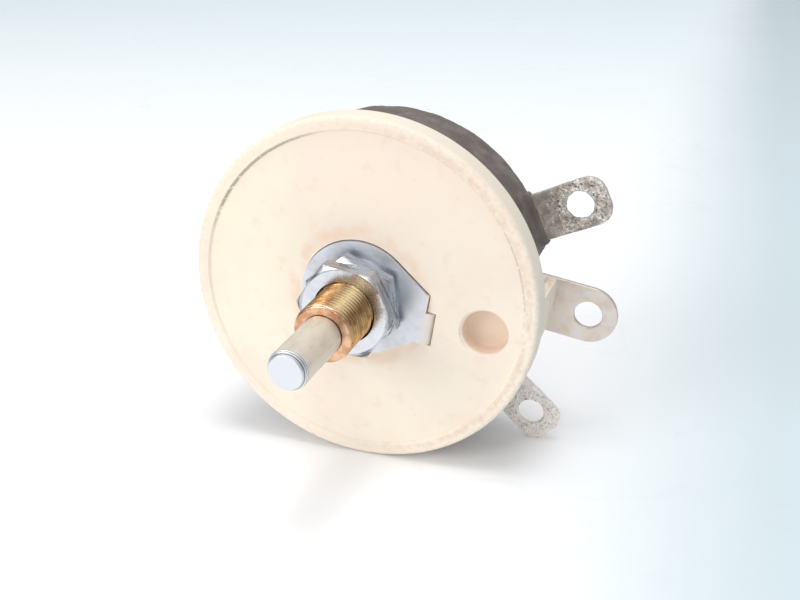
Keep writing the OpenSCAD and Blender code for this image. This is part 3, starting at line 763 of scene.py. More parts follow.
class Forge:
    """Mesh work that the sub-assemblies share. All sizes are millimetres with the shaft upright."""

    @staticmethod
    def arc(
        cx: float, cy: float, r: float, start: float, end: float, steps: int = 6
    ) -> list[tuple[float, float]]:
        """Points on an arc, for a profile.

        Args:
            cx: Centre's first coordinate.
            cy: Centre's second coordinate.
            r: Radius.
            start: First angle in degrees.
            end: Last angle in degrees.
            steps: Number of chords.

        Returns:
            The points in order.
        """
        angles = [math.radians(start + (end - start) * i / steps) for i in range(steps + 1)]
        return [(cx + r * math.cos(a), cy + r * math.sin(a)) for a in angles]

    @staticmethod
    def revolve(profile: Profile, steps: int = 192, loop: bool = False) -> bmesh.types.BMesh:
        """Turns a profile of (radius, level) points round the shaft's axis.

        Args:
            profile: The points; both ends lie on the axis unless loop is set.
            steps: Number of steps in the full turn.
            loop: Whether the last point joins the first.

        Returns:
            The closed shape.
        """
        bm = bmesh.new()
        verts = [bm.verts.new((r, 0, z)) for r, z in profile]
        pairs = list(zip(verts, verts[1:])) + ([(verts[-1], verts[0])] if loop else [])
        edges = [bm.edges.new(pair) for pair in pairs]
        bmesh.ops.spin(
            bm, geom=verts + edges, cent=(0, 0, 0), axis=(0, 0, 1), angle=TURN, steps=steps, use_merge=True
        )
        bmesh.ops.remove_doubles(bm, verts=bm.verts, dist=1e-4)
        bmesh.ops.recalc_face_normals(bm, faces=bm.faces)
        return bm

    @staticmethod
    def sector(profile: Profile, start: float, end: float, steps: int) -> bmesh.types.BMesh:
        """Turns a closed profile through part of a turn and caps both ends.

        Args:
            profile: (radius, level) points of the closed section.
            start: First angle in degrees.
            end: Last angle in degrees.
            steps: Number of steps.

        Returns:
            The closed shape.
        """
        bm = bmesh.new()
        verts = [bm.verts.new((r, 0, z)) for r, z in profile]
        edges = [bm.edges.new(pair) for pair in zip(verts, verts[1:] + verts[:1])]
        bmesh.ops.rotate(bm, verts=verts, cent=(0, 0, 0), matrix=Matrix.Rotation(math.radians(start), 3, "Z"))
        angle = math.radians(end - start)
        bmesh.ops.spin(bm, geom=verts + edges, cent=(0, 0, 0), axis=(0, 0, 1), angle=angle, steps=steps)
        bmesh.ops.holes_fill(bm, edges=[e for e in bm.edges if e.is_boundary])
        bmesh.ops.recalc_face_normals(bm, faces=bm.faces)
        return bm

    @staticmethod
    def drum(r: float, low: float, high: float, sides: int = 128) -> bmesh.types.BMesh:
        """A cylinder round the shaft's axis.

        Args:
            r: Its radius.
            low: Rear level.
            high: Front level.
            sides: Number of sides.

        Returns:
            The closed shape.
        """
        bm = bmesh.new()
        bmesh.ops.create_cone(bm, cap_ends=True, segments=sides, radius1=r, radius2=r, depth=high - low)
        bmesh.ops.translate(bm, verts=bm.verts, vec=(0, 0, (low + high) / 2))
        return bm

    @staticmethod
    def block(low: Sequence[float], high: Sequence[float]) -> bmesh.types.BMesh:
        """A box.

        Args:
            low: Its lowest corner.
            high: Its highest corner.

        Returns:
            The closed shape.
        """
        bm = bmesh.new()
        size = [h - l for l, h in zip(low, high)]
        middle = [(h + l) / 2 for l, h in zip(low, high)]
        bmesh.ops.create_cube(bm, size=1, matrix=Matrix.Translation(middle) @ Matrix.Diagonal((*size, 1)))
        return bm

    @staticmethod
    def plate(outline: Profile, low: float, high: float) -> bmesh.types.BMesh:
        """A flat plate.

        Args:
            outline: Its corners (x, y), in order.
            low: Rear level.
            high: Front level.

        Returns:
            The closed shape.
        """
        bm = bmesh.new()
        face = bm.faces.new([bm.verts.new((x, y, low)) for x, y in outline])
        grown = bmesh.ops.extrude_face_region(bm, geom=[face])["geom"]
        up = [v for v in grown if isinstance(v, bmesh.types.BMVert)]
        bmesh.ops.translate(bm, verts=up, vec=(0, 0, high - low))
        bmesh.ops.recalc_face_normals(bm, faces=bm.faces)
        return bm

    @staticmethod
    def turned(bm: bmesh.types.BMesh, degrees: float) -> bmesh.types.BMesh:
        """Turns a shape round the shaft's axis.

        Args:
            bm: The shape.
            degrees: How far it turns.

        Returns:
            The same shape.
        """
        bmesh.ops.rotate(
            bm, verts=bm.verts, cent=(0, 0, 0), matrix=Matrix.Rotation(math.radians(degrees), 3, "Z")
        )
        return bm

    @staticmethod
    def joined(shapes: Iterable[bmesh.types.BMesh]) -> bmesh.types.BMesh:
        """Several shapes as one, each left as it is.

        Args:
            shapes: The shapes, which are used up.

        Returns:
            One mesh with all of them.
        """
        bm = bmesh.new()
        for shape in shapes:
            mesh = bpy.data.meshes.new("part")
            shape.to_mesh(mesh)
            shape.free()
            bm.from_mesh(mesh)
            bpy.data.meshes.remove(mesh)
        return bm

    @staticmethod
    def _trial(bm: bmesh.types.BMesh) -> bpy.types.Object:
        """An object that holds a shape while modifiers work on it.

        Args:
            bm: The shape, which is used up.

        Returns:
            The object.
        """
        mesh = bpy.data.meshes.new("trial")
        bm.to_mesh(mesh)
        bm.free()
        trial = bpy.data.objects.new("trial", mesh)
        bpy.context.scene.collection.objects.link(trial)
        return trial

    @staticmethod
    def _settle(trial: bpy.types.Object) -> bmesh.types.BMesh:
        """Applies an object's modifiers and removes it.

        Args:
            trial: The object.

        Returns:
            Its shape.
        """
        graph = bpy.context.evaluated_depsgraph_get()
        mesh = bpy.data.meshes.new_from_object(trial.evaluated_get(graph))
        bm = bmesh.new()
        bm.from_mesh(mesh)
        bpy.data.meshes.remove(mesh)
        old = trial.data
        bpy.data.objects.remove(trial)
        bpy.data.meshes.remove(old)
        return bm

    @classmethod
    def carve(cls, shape: bmesh.types.BMesh, *work: tuple[Cut, bmesh.types.BMesh]) -> bmesh.types.BMesh:
        """Joins, cuts or trims a shape with others, in order.

        Args:
            shape: The solid that is worked on.
            work: Each way of working and its tool, which is used up.

        Returns:
            The finished solid.
        """
        trial = cls._trial(shape)
        tools = []
        for way, tool in work:
            tools.append(cls._trial(tool))
            boolean = trial.modifiers.new(way.name, "BOOLEAN")
            boolean.operation = way.value
            boolean.solver = "EXACT"
            boolean.object = tools[-1]
        bm = cls._settle(trial)
        for tool in tools:
            mesh = tool.data
            bpy.data.objects.remove(tool)
            bpy.data.meshes.remove(mesh)
        bmesh.ops.remove_doubles(bm, verts=bm.verts, dist=1e-4)
        return bm

    @classmethod
    def melted(
        cls, shape: bmesh.types.BMesh, voxel: float, rounds: int, lumps: Callable[[Vector], float]
    ) -> bmesh.types.BMesh:
        """Melts overlapping solids into one skin, smooths it and lets it swell.

        Args:
            shape: The overlapping solids.
            voxel: Size of the skin's mesh.
            rounds: Rounds of smoothing.
            lumps: How far a point moves outwards.

        Returns:
            The lumpy skin.
        """
        trial = cls._trial(shape)
        remesh = trial.modifiers.new("melt", "REMESH")
        remesh.mode = "VOXEL"
        remesh.voxel_size = voxel
        bm = cls._settle(trial)
        for _ in range(rounds):
            bmesh.ops.smooth_vert(
                bm, verts=bm.verts, factor=0.5, use_axis_x=True, use_axis_y=True, use_axis_z=True
            )
        bm.normal_update()
        for vert in bm.verts:
            vert.co += vert.normal * lumps(vert.co)
        return bm

    @classmethod
    def finish(
        cls,
        name: str,
        bm: bmesh.types.BMesh,
        finish: Finish,
        body: Body,
        *nodes: str,
        edge: float = 0.0,
        sharp: float = 32,
        laid: bool = False,
    ) -> bpy.types.Object:
        """Rounds a shape's edges, lays it in its place and hands it to its body.

        Args:
            name: Name of the piece.
            bm: Its shape, which is used up.
            finish: Its finish.
            body: The body that it rides on.
            nodes: CAD nodes that it stands for.
            edge: Width of the edge rounding, or 0.
            sharp: Angle in degrees above which an edge is rounded or stays crisp.
            laid: Whether the shape is already in metres in its place.

        Returns:
            The finished piece.
        """
        if edge:
            trial = cls._trial(bm)
            bevel = trial.modifiers.new("edge", "BEVEL")
            bevel.width = edge
            bevel.segments = 3
            bevel.profile = 0.5
            bevel.limit_method = "ANGLE"
            bevel.angle_limit = math.radians(sharp)
            bevel.use_clamp_overlap = True
            bm = cls._settle(trial)
        for face in bm.faces:
            face.smooth = True
        for line in bm.edges:
            line.smooth = len(line.link_faces) != 2 or line.calc_face_angle(0) < math.radians(sharp)
        if not laid:
            bm.transform(LAYOUT.place)
        mesh = bpy.data.meshes.new(name)
        bm.to_mesh(mesh)
        bm.free()
        mesh.materials.append(finish.material())
        piece = bpy.data.objects.new(name, mesh)
        bpy.context.scene.collection.objects.link(piece)
        if edge:
            weigh = piece.modifiers.new("normals", "WEIGHTED_NORMAL")
            weigh.keep_sharp = True
        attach(piece, body.value)
        if nodes:
            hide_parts(*nodes)
        count = len(mesh.polygons)
        LOG.info("%s: %d faces, rides on %s, stands for %s", name, count, body.value, nodes or "nothing")
        return piece

    @classmethod
    def softened(cls, node: str, finish: Finish, body: Body, edge: float) -> bpy.types.Object:
        """A copy of a CAD node with its corners rounded.

        Args:
            node: The CAD node that the copy stands for.
            finish: Its finish.
            body: The body that it rides on.
            edge: Width of the rounding in millimetres.

        Returns:
            The finished piece.
        """
        bm = bmesh.new()
        bm.from_mesh(frame["nodes"][node].data)
        bm.transform(LAYOUT.place.inverted())
        bmesh.ops.remove_doubles(bm, verts=bm.verts, dist=1e-3)
        bmesh.ops.dissolve_limit(bm, angle_limit=math.radians(1), verts=bm.verts, edges=bm.edges)
        return cls.finish(node + "_rounded", bm, finish, body, node, edge=edge)

    @staticmethod
    def dress(node: str, finish: Finish) -> None:
        """Gives a CAD node that stays its finish.

        Args:
            node: The node.
            finish: The finish.
        """
        mesh = frame["nodes"][node].data
        mesh.materials.clear()
        mesh.materials.append(finish.material())
        LOG.info("%s: stays, in %s", node, finish.slot)


# ---------------------------------------------------------- the sub-assemblies


@dataclass
class CeramicBase:
    """The ceramic base with its rim, tower and boss."""

    rim_w: float = 2.2
    rim_step: float = 0.45
    edge_round: float = 0.8
    back_z: float = -4.75
    tower_z: float = -16.7
    tower_r: float = 9.6
    hub_r: float = 14.5
    boss_w: float = 9.9
    boss_in_r: float = 18.35
    boss_out_r: float = 28.5
    gap: float = 0.15
    hole_depth: float = 3.45
    hole_wear: float = 0.55
    bore_r: float = 4.9
    flat_r: float = 9.0
    flange_t: float = 2

    def body(self) -> bmesh.types.BMesh:
        """The turned shape of disc and tower.

        Returns:
            The closed shape.
        """
        r = LAYOUT.radius("ceramic_base")
        front = LAYOUT.span("ceramic_base")[1]
        step = r - self.rim_w
        c = self.edge_round
        field = [(step - 0.35 - i * (step - 0.35 - self.hub_r) / 8) for i in range(9)]
        rise = front + self.rim_step
        profile = [
            (0, self.tower_z),
            *Forge.arc(self.tower_r - 0.4, self.tower_z + 0.4, 0.4, -90, 0),
            *Forge.arc(self.tower_r + 0.6, self.back_z - 0.6, 0.6, 180, 90),
            *Forge.arc(r - c, self.back_z + c, c, -90, 0),
            *Forge.arc(r - c, -c, c, 0, 90, 8),
            *Forge.arc(step + 0.2, -0.2, 0.2, 90, 150, 4),
            (step - 0.12, -self.rim_step * 0.8),
            *[(f, -self.rim_step + rise * (i / 8)) for i, f in enumerate(field)],
            (self.flat_r, front),
            (0, front),
        ]
        return Forge.revolve(profile, 288)

    def hole_cutter(self) -> bmesh.types.BMesh:
        """The locating hole's cutter, with a worn mouth and a rounded floor.

        Returns:
            The closed shape.
        """
        distance, _, r = LAYOUT.hole("locating_hole")
        floor = -self.hole_depth
        profile = [
            (0, floor - 0.05),
            (r * 0.6, floor),
            *Forge.arc(r - 0.7, floor + 0.7, 0.7, -90, 0),
            *Forge.arc(r + self.hole_wear, -self.hole_wear, self.hole_wear, 180, 105, 7),
            (r + 0.7, 1.5),
            (0, 1.5),
        ]
        bm = Forge.revolve(profile, 96)
        bmesh.ops.translate(bm, verts=bm.verts, vec=(distance, 0, 0))
        return bm

    def build(self, plate: "AnchorPlate") -> None:
        """Builds and dresses the base.

        Args:
            plate: The anchor plate, whose pocket and slot are cut here.
        """
        boss = Forge.carve(
            Forge.block(
                (self.boss_in_r, -self.boss_w / 2, self.tower_z), (30, self.boss_w / 2, self.back_z + 0.3)
            ),
            (Cut.KEEP, Forge.drum(self.boss_out_r, self.tower_z - 1, 0, 288)),
        )
        flange_front = LAYOUT.span("bushing")[0] + self.flange_t
        base = Forge.carve(
            self.body(),
            (Cut.JOIN, boss),
            (Cut.TAKE, self.hole_cutter()),
            (Cut.TAKE, plate.outline(self.gap, plate.low(), 3)),
            (Cut.TAKE, plate.slot(self.gap)),
            (Cut.TAKE, Forge.drum(self.bore_r, self.tower_z - 1, 3)),
            (Cut.TAKE, Forge.drum(LAYOUT.radius("bushing") + self.gap, self.tower_z - 1, flange_front)),
        )
        Forge.finish("base_body", base, BASE_CERAMIC, Body.FRAME, "ceramic_base", edge=0.14, sharp=40)


@dataclass
class AnchorPlate:
    """The plate that keys the bushing to the base, with one end bent down into a slot."""

    round_r: float = 9.6
    end_x: float = 11.5
    taper: float = 34
    thick: float = 1.4
    tab_w: float = 5.5
    tab_y: float = -1.9
    tab_low: float = -3
    tab_root: float = 1
    slot_open: float = 0.15
    slot_under: float = 0.4
    bore_r: float = 4.81

    def low(self) -> float:
        """Level of the plate's rear face."""
        return LAYOUT.span("anchor_plate")[1] - self.thick

    def outline(self, gap: float, low: float, high: float) -> bmesh.types.BMesh:
        """The teardrop of the plate with the root of its tab, grown by gap, between two levels.

        Args:
            gap: How much it is grown on every side.
            low: Rear level.
            high: Front level.

        Returns:
            The closed shape.
        """
        r = self.round_r + gap
        a = math.radians(self.taper)
        tx, ty = r * math.sin(a), r * math.cos(a)
        ex = self.end_x + gap
        ey = ty - (ex - tx) * math.tan(a)
        half = self.tab_w / 2 + gap
        blade = Forge.plate(
            [(0, r * 0.9), (0, -r * 0.9), (tx, -ty), (ex, -ey), (ex, ey), (tx, ty)], low, high
        )
        root = Forge.block(
            (self.end_x - self.tab_root - gap, self.tab_y - half, low), (ex, self.tab_y + half, high)
        )
        return Forge.carve(Forge.drum(r, low, high, 192), (Cut.JOIN, blade), (Cut.JOIN, root))

    def slot(self, gap: float) -> bmesh.types.BMesh:
        """The slot's cutter.

        Args:
            gap: Room beside the tab.

        Returns:
            The closed shape.
        """
        half = self.tab_w / 2 + gap
        return Forge.block(
            (self.end_x - gap, self.tab_y - half, self.tab_low - self.slot_under),
            (self.end_x + self.thick + self.slot_open, self.tab_y + half, 3),
        )

    def tab(self) -> bmesh.types.BMesh:
        """The bent tab: a quarter bend and a leg.

        Returns:
            The closed shape.
        """
        half = self.tab_w / 2
        x, z = self.end_x, self.low()
        bend = Forge.arc(x, z, self.thick, 90, 0, 12)
        side = [
            (x - 0.5, z + self.thick), *bend, (x + self.thick, self.tab_low), (x, self.tab_low), (x, z),
            (x - 0.5, z),
        ]
        bm = Forge.plate(side, -half, half)
        bmesh.ops.rotate(bm, verts=bm.verts, cent=(0, 0, 0), matrix=Matrix.Rotation(math.pi / 2, 3, "X"))
        bmesh.ops.translate(bm, verts=bm.verts, vec=(0, self.tab_y, 0))
        return bm

    def build(self) -> None:
        """Builds and dresses the plate."""
        top = LAYOUT.span("anchor_plate")[1]
        plate = Forge.carve(
            self.outline(0, self.low(), top),
            (Cut.JOIN, self.tab()),
            (Cut.TAKE, Forge.drum(self.bore_r, self.low() - 1, top + 1)),
        )
        Forge.finish("plate_body", plate, ZINC_PLATE, Body.FRAME, "anchor_plate", edge=0.14, sharp=34)


@dataclass
class Bushing:
    """The threaded panel bushing."""

    pitch: float = 0.794
    depth: float = 0.43
    start_z: float = 6.3
    bevel: float = 0.6
    per_turn: int = 72
    bore_r: float = 3.025
    flange_t: float = 2
    run_out: float = 0.22

    def build(self) -> None:
        """Builds and dresses the bushing with its screw thread."""
        rear, front = LAYOUT.span("bushing")
        crest = LAYOUT.mounts["panel_bushing"]["dims"]["r_mm"]
        root = crest - self.depth
        flange = LAYOUT.radius("bushing")
        barrel = Forge.revolve(
            [
                (self.bore_r, rear), (flange - 0.2, rear), (flange, rear + 0.2), (
                    flange, rear + self.flange_t - 0.2
                ),
                (flange - 0.2, rear + self.flange_t), (crest, rear + self.flange_t), (crest, 0),
                (crest - self.run_out, 0.2), (crest - self.run_out, self.start_z - 0.2), (root, self.start_z),
                (root, front - self.bevel - 0.1),
                *Forge.arc(crest - self.bevel, front - self.bevel, self.bevel * 0.95, 30, 80, 6),
                (crest - self.bevel - 0.3, front), (self.bore_r + 0.25, front), (self.bore_r, front - 0.25),
            ],
            144,
            loop=True,
        )
        shape = Forge.joined([barrel, self.thread(crest, root, front)])
        Forge.finish("bushing_body", shape, BRASS, Body.FRAME, "bushing", sharp=38)

    def thread(self, crest: float, root: float, front: float) -> bmesh.types.BMesh:
        """The screw thread's ridge.

        Args:
            crest: Radius over the crests.
            root: Radius at the roots.
            front: Level of the bushing's front face.

        Returns:
            The closed ridge, wound right-handed and faded out at the bevel.
        """
        half = self.pitch / 2
        section = [
            (root - 0.15, -half), (root, -half * 0.94), (crest - 0.05, -half * 0.22), (crest, -half * 0.1),
            (crest, half * 0.1), (crest - 0.05, half * 0.22), (root, half * 0.94), (root - 0.15, half),
        ]
        top = front - self.bevel * 0.55
        turns = (top - self.start_z) / self.pitch
        steps = round(turns * self.per_turn)
        bm = bmesh.new()
        verts = [bm.verts.new((r, 0, self.start_z + z)) for r, z in section]
        edges = [bm.edges.new(pair) for pair in zip(verts, verts[1:] + verts[:1])]
        rise = (top - self.start_z) / steps
        bmesh.ops.spin(
            bm, geom=verts + edges, cent=(0, 0, 0), axis=(0, 0, 1), dvec=(0, 0, rise),
            angle=TURN * turns, steps=steps,
        )
        bmesh.ops.holes_fill(bm, edges=[e for e in bm.edges if e.is_boundary])
        bmesh.ops.recalc_face_normals(bm, faces=bm.faces)
        for vert in bm.verts:
            r = math.hypot(vert.co.x, vert.co.y)
            limit = crest - max(0.0, vert.co.z - (front - self.bevel)) * 1.0
            if r > limit:
                vert.co.x *= limit / r
                vert.co.y *= limit / r
        return bm


@dataclass
class HexNut:
    """A thin hexagon nut, chamfered and countersunk."""

    node: str
    turn: float
    flats: float = 14.29
    bore_r: float = 4.56
    sink: float = 0.55
    chamfer: float = 30
    chamfer_drop: float = 0.29

    def build(self) -> None:
        """Builds and dresses the nut."""
        low, high = LAYOUT.span(self.node)
        corner = self.flats / math.sqrt(3)
        flat = self.flats * 0.5
        rise = (corner - flat) * math.tan(math.radians(self.chamfer))
        hexagon = Forge.turned(Forge.drum(corner, low, high, 6), self.turn + 30)
        envelope = Forge.revolve(
            [
                (0, low), (corner + 0.5, low), (corner + 0.5, high - rise - self.chamfer_drop),
                (flat + 0.1, high), (0, high),
            ],
            192,
        )
        mouth = Forge.revolve(
            [
                (0, low - 0.5), (self.bore_r + self.sink + 0.5, low - 0.5), (self.bore_r, low + self.sink),
                (self.bore_r, high - self.sink), (self.bore_r + self.sink + 0.5, high + 0.5), (0, high + 0.5),
            ],
            144,
        )
        nut = Forge.carve(hexagon, (Cut.KEEP, envelope), (Cut.TAKE, mouth))
        Forge.finish(self.node + "_body", nut, ZINC_NUT, Body.FRAME, self.node, edge=0.12, sharp=20)


@dataclass
class Hardware:
    """Bushing, plate, washer and nuts on the front of the base."""

    inner_turn: float = 47
    outer_turn: float = 4.5

    def build(self, plate: AnchorPlate) -> None:
        """Builds and dresses each of them.

        Args:
            plate: The anchor plate.
        """
        Bushing().build()
        plate.build()
        HexNut("inner_nut", self.inner_turn).build()
        HexNut("outer_nut", self.outer_turn).build()
        Forge.softened("spring_washer", ZINC, Body.FRAME, 0.12)


@dataclass
class Element:
    """The wound ring: core, winding, enamel and its three terminals."""

    core_in: float = 18.35
    core_out: float = 25.35
    wire: float = 0.35
    enamel: float = 0.9
    track_half: float = 2.5
    wound_end: float = 22
    enamel_end: float = 20
    turns: int = 340
    strip: float = 0.8
    lug_w: float = 8
    lug_round: float = 2.8
    root_r: float = 28.2
    root_side: float = 0.6
    root_face: float = 0.55
    lug_end: float = 4.8
    strap_t: float = 0.45
    strap_at: float = 10
    strap_half: float = 1.5

    def levels(self) -> tuple[float, float]:
        """Level of the track and of the ring's front."""
        return LAYOUT.span("resistance_winding")

    def winding(self) -> None:
        """Winds the wire: a skin right round the core whose turns stand out one by one."""
        track, front = self.levels()
        low, high = self.core_in - self.wire, self.core_out + self.wire
        lines = []
        corners = [(low, front), (high, front), (high, track), (low, track)]
        for (r0, z0), (r1, z1) in zip(corners, corners[1:] + corners[:1]):
            lines += [(r0 + (r1 - r0) * t, z0 + (z1 - z0) * t) for t in (0.0, 0.04, 0.96)]
        outer = Forge.sector(lines, self.wound_end, 360 - self.wound_end, self.turns * 4)
        mid_r, mid_z = (low + high) / 2, (front + track) / 2
        for vert in outer.verts:
            angle = math.atan2(vert.co.y, vert.co.x) % TURN
            along = (angle - math.radians(self.wound_end)) / (TURN - math.radians(2 * self.wound_end))
            dip = 0.14 * (1 - abs(math.sin(math.pi * along * self.turns)))
            r = math.hypot(vert.co.x, vert.co.y)
            inward = Vector(((mid_r - r) * math.cos(angle), (mid_r - r) * math.sin(angle), mid_z - vert.co.z))
            vert.co += inward.normalized() * dip
        Forge.finish("winding_turns", outer, WIRE, Body.FRAME, "resistance_winding", sharp=60)

    def coat(self) -> None:
        """Fires the enamel on: outside and inside walls, and a lump at the root of each end lug."""
        track, front = self.levels()
        rear = LAYOUT.span("enamel_coat")[0]
        out_r, in_r = self.core_out + self.wire, self.core_in - self.wire
        mid = (out_r + in_r) / 2
        base = front
        outside = [
            (out_r - 0.1, base), (out_r + self.enamel, base), (out_r + self.enamel, (base + rear) / 2),
            *Forge.arc(out_r + self.enamel - 1.1, rear + 1.1, 1.1, 0, -90),
            (mid + self.track_half + 0.5, rear), (mid + self.track_half, rear + 0.22), (
                out_r - 0.1, track + 0.1
            ),
        ]
        inside = [
            (in_r + 0.1, base), (in_r + 0.1, track + 0.1), (mid - self.track_half, rear + 0.22),
            (mid - self.track_half - 0.5, rear), *Forge.arc(
                in_r - self.enamel + 1.1, rear + 1.1, 1.1, -90, -180
            ),
            (in_r - self.enamel, (base + rear) / 2), (in_r - self.enamel, base),
        ]
        shapes = [Forge.sector(p, self.enamel_end, 360 - self.enamel_end, 300) for p in (outside, inside)]
        for name in ("upper_lug_hole", "lower_lug_hole"):
            _, angle, _ = LAYOUT.hole(name)
            low, high = self.lug_levels()
            root = Forge.block(
                (out_r, -self.lug_w / 2 - self.root_side, low - self.root_face),
                (self.root_r, self.lug_w / 2 + self.root_side, high + self.root_face),
            )
            shapes.append(Forge.turned(root, math.degrees(angle)))

        def lumps(at: Vector) -> float:
            """Unevenness of the fired surface."""
            return 0.1 * noise.noise(at * 0.35) + 0.05 * noise.noise(at * 1.1)

        skin = Forge.melted(Forge.joined(shapes), 0.36, 5, lumps)
        Forge.finish("enamel_skin", skin, ENAMEL, Body.FRAME, "enamel_coat", sharp=70)

    def lug_levels(self) -> tuple[float, float]:
        """Rear and front level of the end lugs' strip."""
        middle = -LAYOUT.mounts["upper_lug_hole"]["pos_m"][1] / MM
        return middle - self.strip / 2, middle + self.strip / 2

    def end_terminal(self, node: str, mount: str, side: int, finish: Finish) -> None:
        """Makes one end terminal: lug, saddle and strap under a crust of solder.

        Args:
            node: The CAD node that it stands for.
            mount: The mount at its hole.
            side: 1 where the strap lies clockwise of the lug, -1 where it lies anticlockwise.
            finish: Its finish.
        """
        track, front = self.levels()
        out_r, in_r = self.core_out + self.wire, self.core_in - self.wire
        distance, angle, hole = LAYOUT.hole(mount)
        low, high = self.lug_levels()
        tip = distance + self.lug_end
        half, c, t = self.lug_w / 2, self.lug_round, self.strap_t
        tip_line = Forge.arc(tip - c, c - half, c, -90, 0) + Forge.arc(tip - c, half - c, c, 0, 90)
        lug = Forge.carve(
            Forge.plate([(out_r + 0.05, -half), *tip_line, (out_r + 0.05, half)], low, high),
            (Cut.TAKE, self._post(distance, hole, low - 1, high + 1)),
        )
        saddle = Forge.sector(
            [(out_r, low - 2), (out_r + t, low - 2), (out_r + t, high + 3.2), (out_r, high + 3.2)],
            -9 - (side + 1) / 2, 9 + (1 - side) / 2, 12,
        )
        strap = Forge.sector(
            [
                (in_r - t, front), (in_r, front), (in_r, track), (out_r, track), (out_r, front),
                (out_r + t, front), (out_r + t, track - t), (in_r - t, track - t),
            ],
            -self.strap_at * side - self.strap_half, -self.strap_at * side + self.strap_half, 4,
        )
        eye = Vector((distance, 0, (low + high) / 2))

        def lumps(at: Vector) -> float:
            """Solder that stands proud round the hole and thins out along the lug.

            Args:
                at: A point on the skin.

            Returns:
                How far it moves outwards.
            """
            far = (at - eye).length
            near = max(0.0, 1 - max(0.0, far - hole) / 3.2)
            crust = 0.1 * noise.noise(at * 1.3) + 0.08 * noise.noise(at * 3.4)
            return near * 0.12 + crust * (0.35 + 0.65 * near) - 0.02

        skin = Forge.melted(Forge.joined([lug, saddle, strap]), 0.15, 1, lumps)
        Forge.finish(
            node + "_body", Forge.turned(skin, math.degrees(angle)), finish, Body.FRAME, node, sharp=80
        )

    @staticmethod
    def _post(x: float, r: float, low: float, high: float) -> bmesh.types.BMesh:
        """A round cutter on the lug's middle line.

        Args:
            x: Its distance from the shaft.
            r: Its radius.
            low: Rear level.
            high: Front level.

        Returns:
            The closed shape.
        """
        bm = Forge.drum(r, low, high, 64)
        bmesh.ops.translate(bm, verts=bm.verts, vec=(x, 0, 0))
        return bm

    def build(self) -> None:
        """Builds and dresses the ring and its terminals."""
        Forge.dress("resistor_core", CORE_CERAMIC)
        self.winding()
        self.coat()
        self.end_terminal("end_terminal_upper", "upper_lug_hole", 1, LUG_TIN)
        self.end_terminal("end_terminal_lower", "lower_lug_hole", -1, LUG_TIN_BRIGHT)
        Forge.softened("centre_terminal", LUG_PLATE, Body.FRAME, 0.14)


@dataclass
class Shaft:
    """The shaft with its turned nose and clip groove."""

    nose: float = 1.1
    bevel: float = 0.54
    ring_count: int = 4
    neck: float = 0.2
    groove: float = 0.5

    def build(self) -> None:
        """Builds and dresses the shaft."""
        rear, front = LAYOUT.span("shaft")
        r = LAYOUT.mounts["knob_shaft"]["dims"]["r_mm"]
        journal = r - self.neck
        clip_low, clip_high = LAYOUT.span("retaining_ring")
        bushing_front = LAYOUT.span("bushing")[1]
        rings = []
        for i in range(self.ring_count):
            t = (i + 0.5) / self.ring_count
            z = front - self.nose + self.nose * 0.8 * t
            at = r - self.bevel * 0.75 * t
            rings += [(at, z - 0.09), (at - 0.07, z), (at - 0.02, z + 0.09)]
        profile = [
            (0, rear), (journal - 0.4, rear), (journal, rear + 0.4), (journal, clip_low - 0.05),
            (journal - self.groove, clip_low - 0.05), (journal - self.groove, clip_high), (
                journal, clip_high
            ),
            (journal, bushing_front + 0.2), (r - 0.05, bushing_front + 0.2), (r, bushing_front + 0.28),
            (r, front - self.nose), *rings, (r - self.bevel, front - 0.06), (r - self.bevel - 0.08, front), (
                0, front
            ),
        ]
        Forge.finish("shaft_body", Forge.revolve(profile, 144), SHAFT_PLATE, Body.WIPER, "shaft", sharp=28)


@dataclass
class Wiper:
    """The moving contact behind the base: hub, arm, brush, spring and clip."""

    wire_r: float = 0.4
    coil_r: float = 4.2
    turns: float = 3

    def spring(self) -> None:
        """Coils the pressure spring."""
        low, high = LAYOUT.span("pressure_spring")
        bm = bmesh.new()
        ring = bmesh.ops.create_circle(bm, segments=16, radius=self.wire_r)["verts"]
        turn = Matrix.Rotation(math.pi / 2, 3, "X")
        bmesh.ops.rotate(bm, verts=ring, cent=(0, 0, 0), matrix=turn)
        bmesh.ops.translate(bm, verts=ring, vec=(self.coil_r, 0, low + self.wire_r))
        steps = round(self.turns * 64)
        rise = (high - low - 2 * self.wire_r) / steps
        bmesh.ops.spin(
            bm, geom=bm.verts[:] + bm.edges[:], cent=(0, 0, 0), axis=(0, 0, 1), dvec=(0, 0, rise),
            angle=TURN * self.turns, steps=steps,
        )
        bmesh.ops.holes_fill(bm, edges=[e for e in bm.edges if e.is_boundary])
        bmesh.ops.recalc_face_normals(bm, faces=bm.faces)
        Forge.finish("spring_coil", bm, STEEL, Body.WIPER, "pressure_spring", sharp=50)

    def build(self) -> None:
        """Builds and dresses the moving contact."""
        for node, finish, edge in (
            ("wiper_hub", HUB_CERAMIC, 0.2), ("contact_arm", SPRING_STEEL, 0.1), ("arm_rivets", BRONZE, 0.18),
            ("brush_box", BRONZE, 0.08), ("brush", CARBON, 0.2), ("spring_seat", STEEL, 0.1),
            ("retaining_ring", STEEL, 0.1),
        ):
            Forge.softened(node, finish, Body.WIPER, edge)
        self.spring()
        for node, finish in (
            ("thrust_washer", BRASS), ("slip_washer", BRONZE), ("hub_pin", STEEL), ("brush_shunt", BRAID),
        ):
            Forge.dress(node, finish)


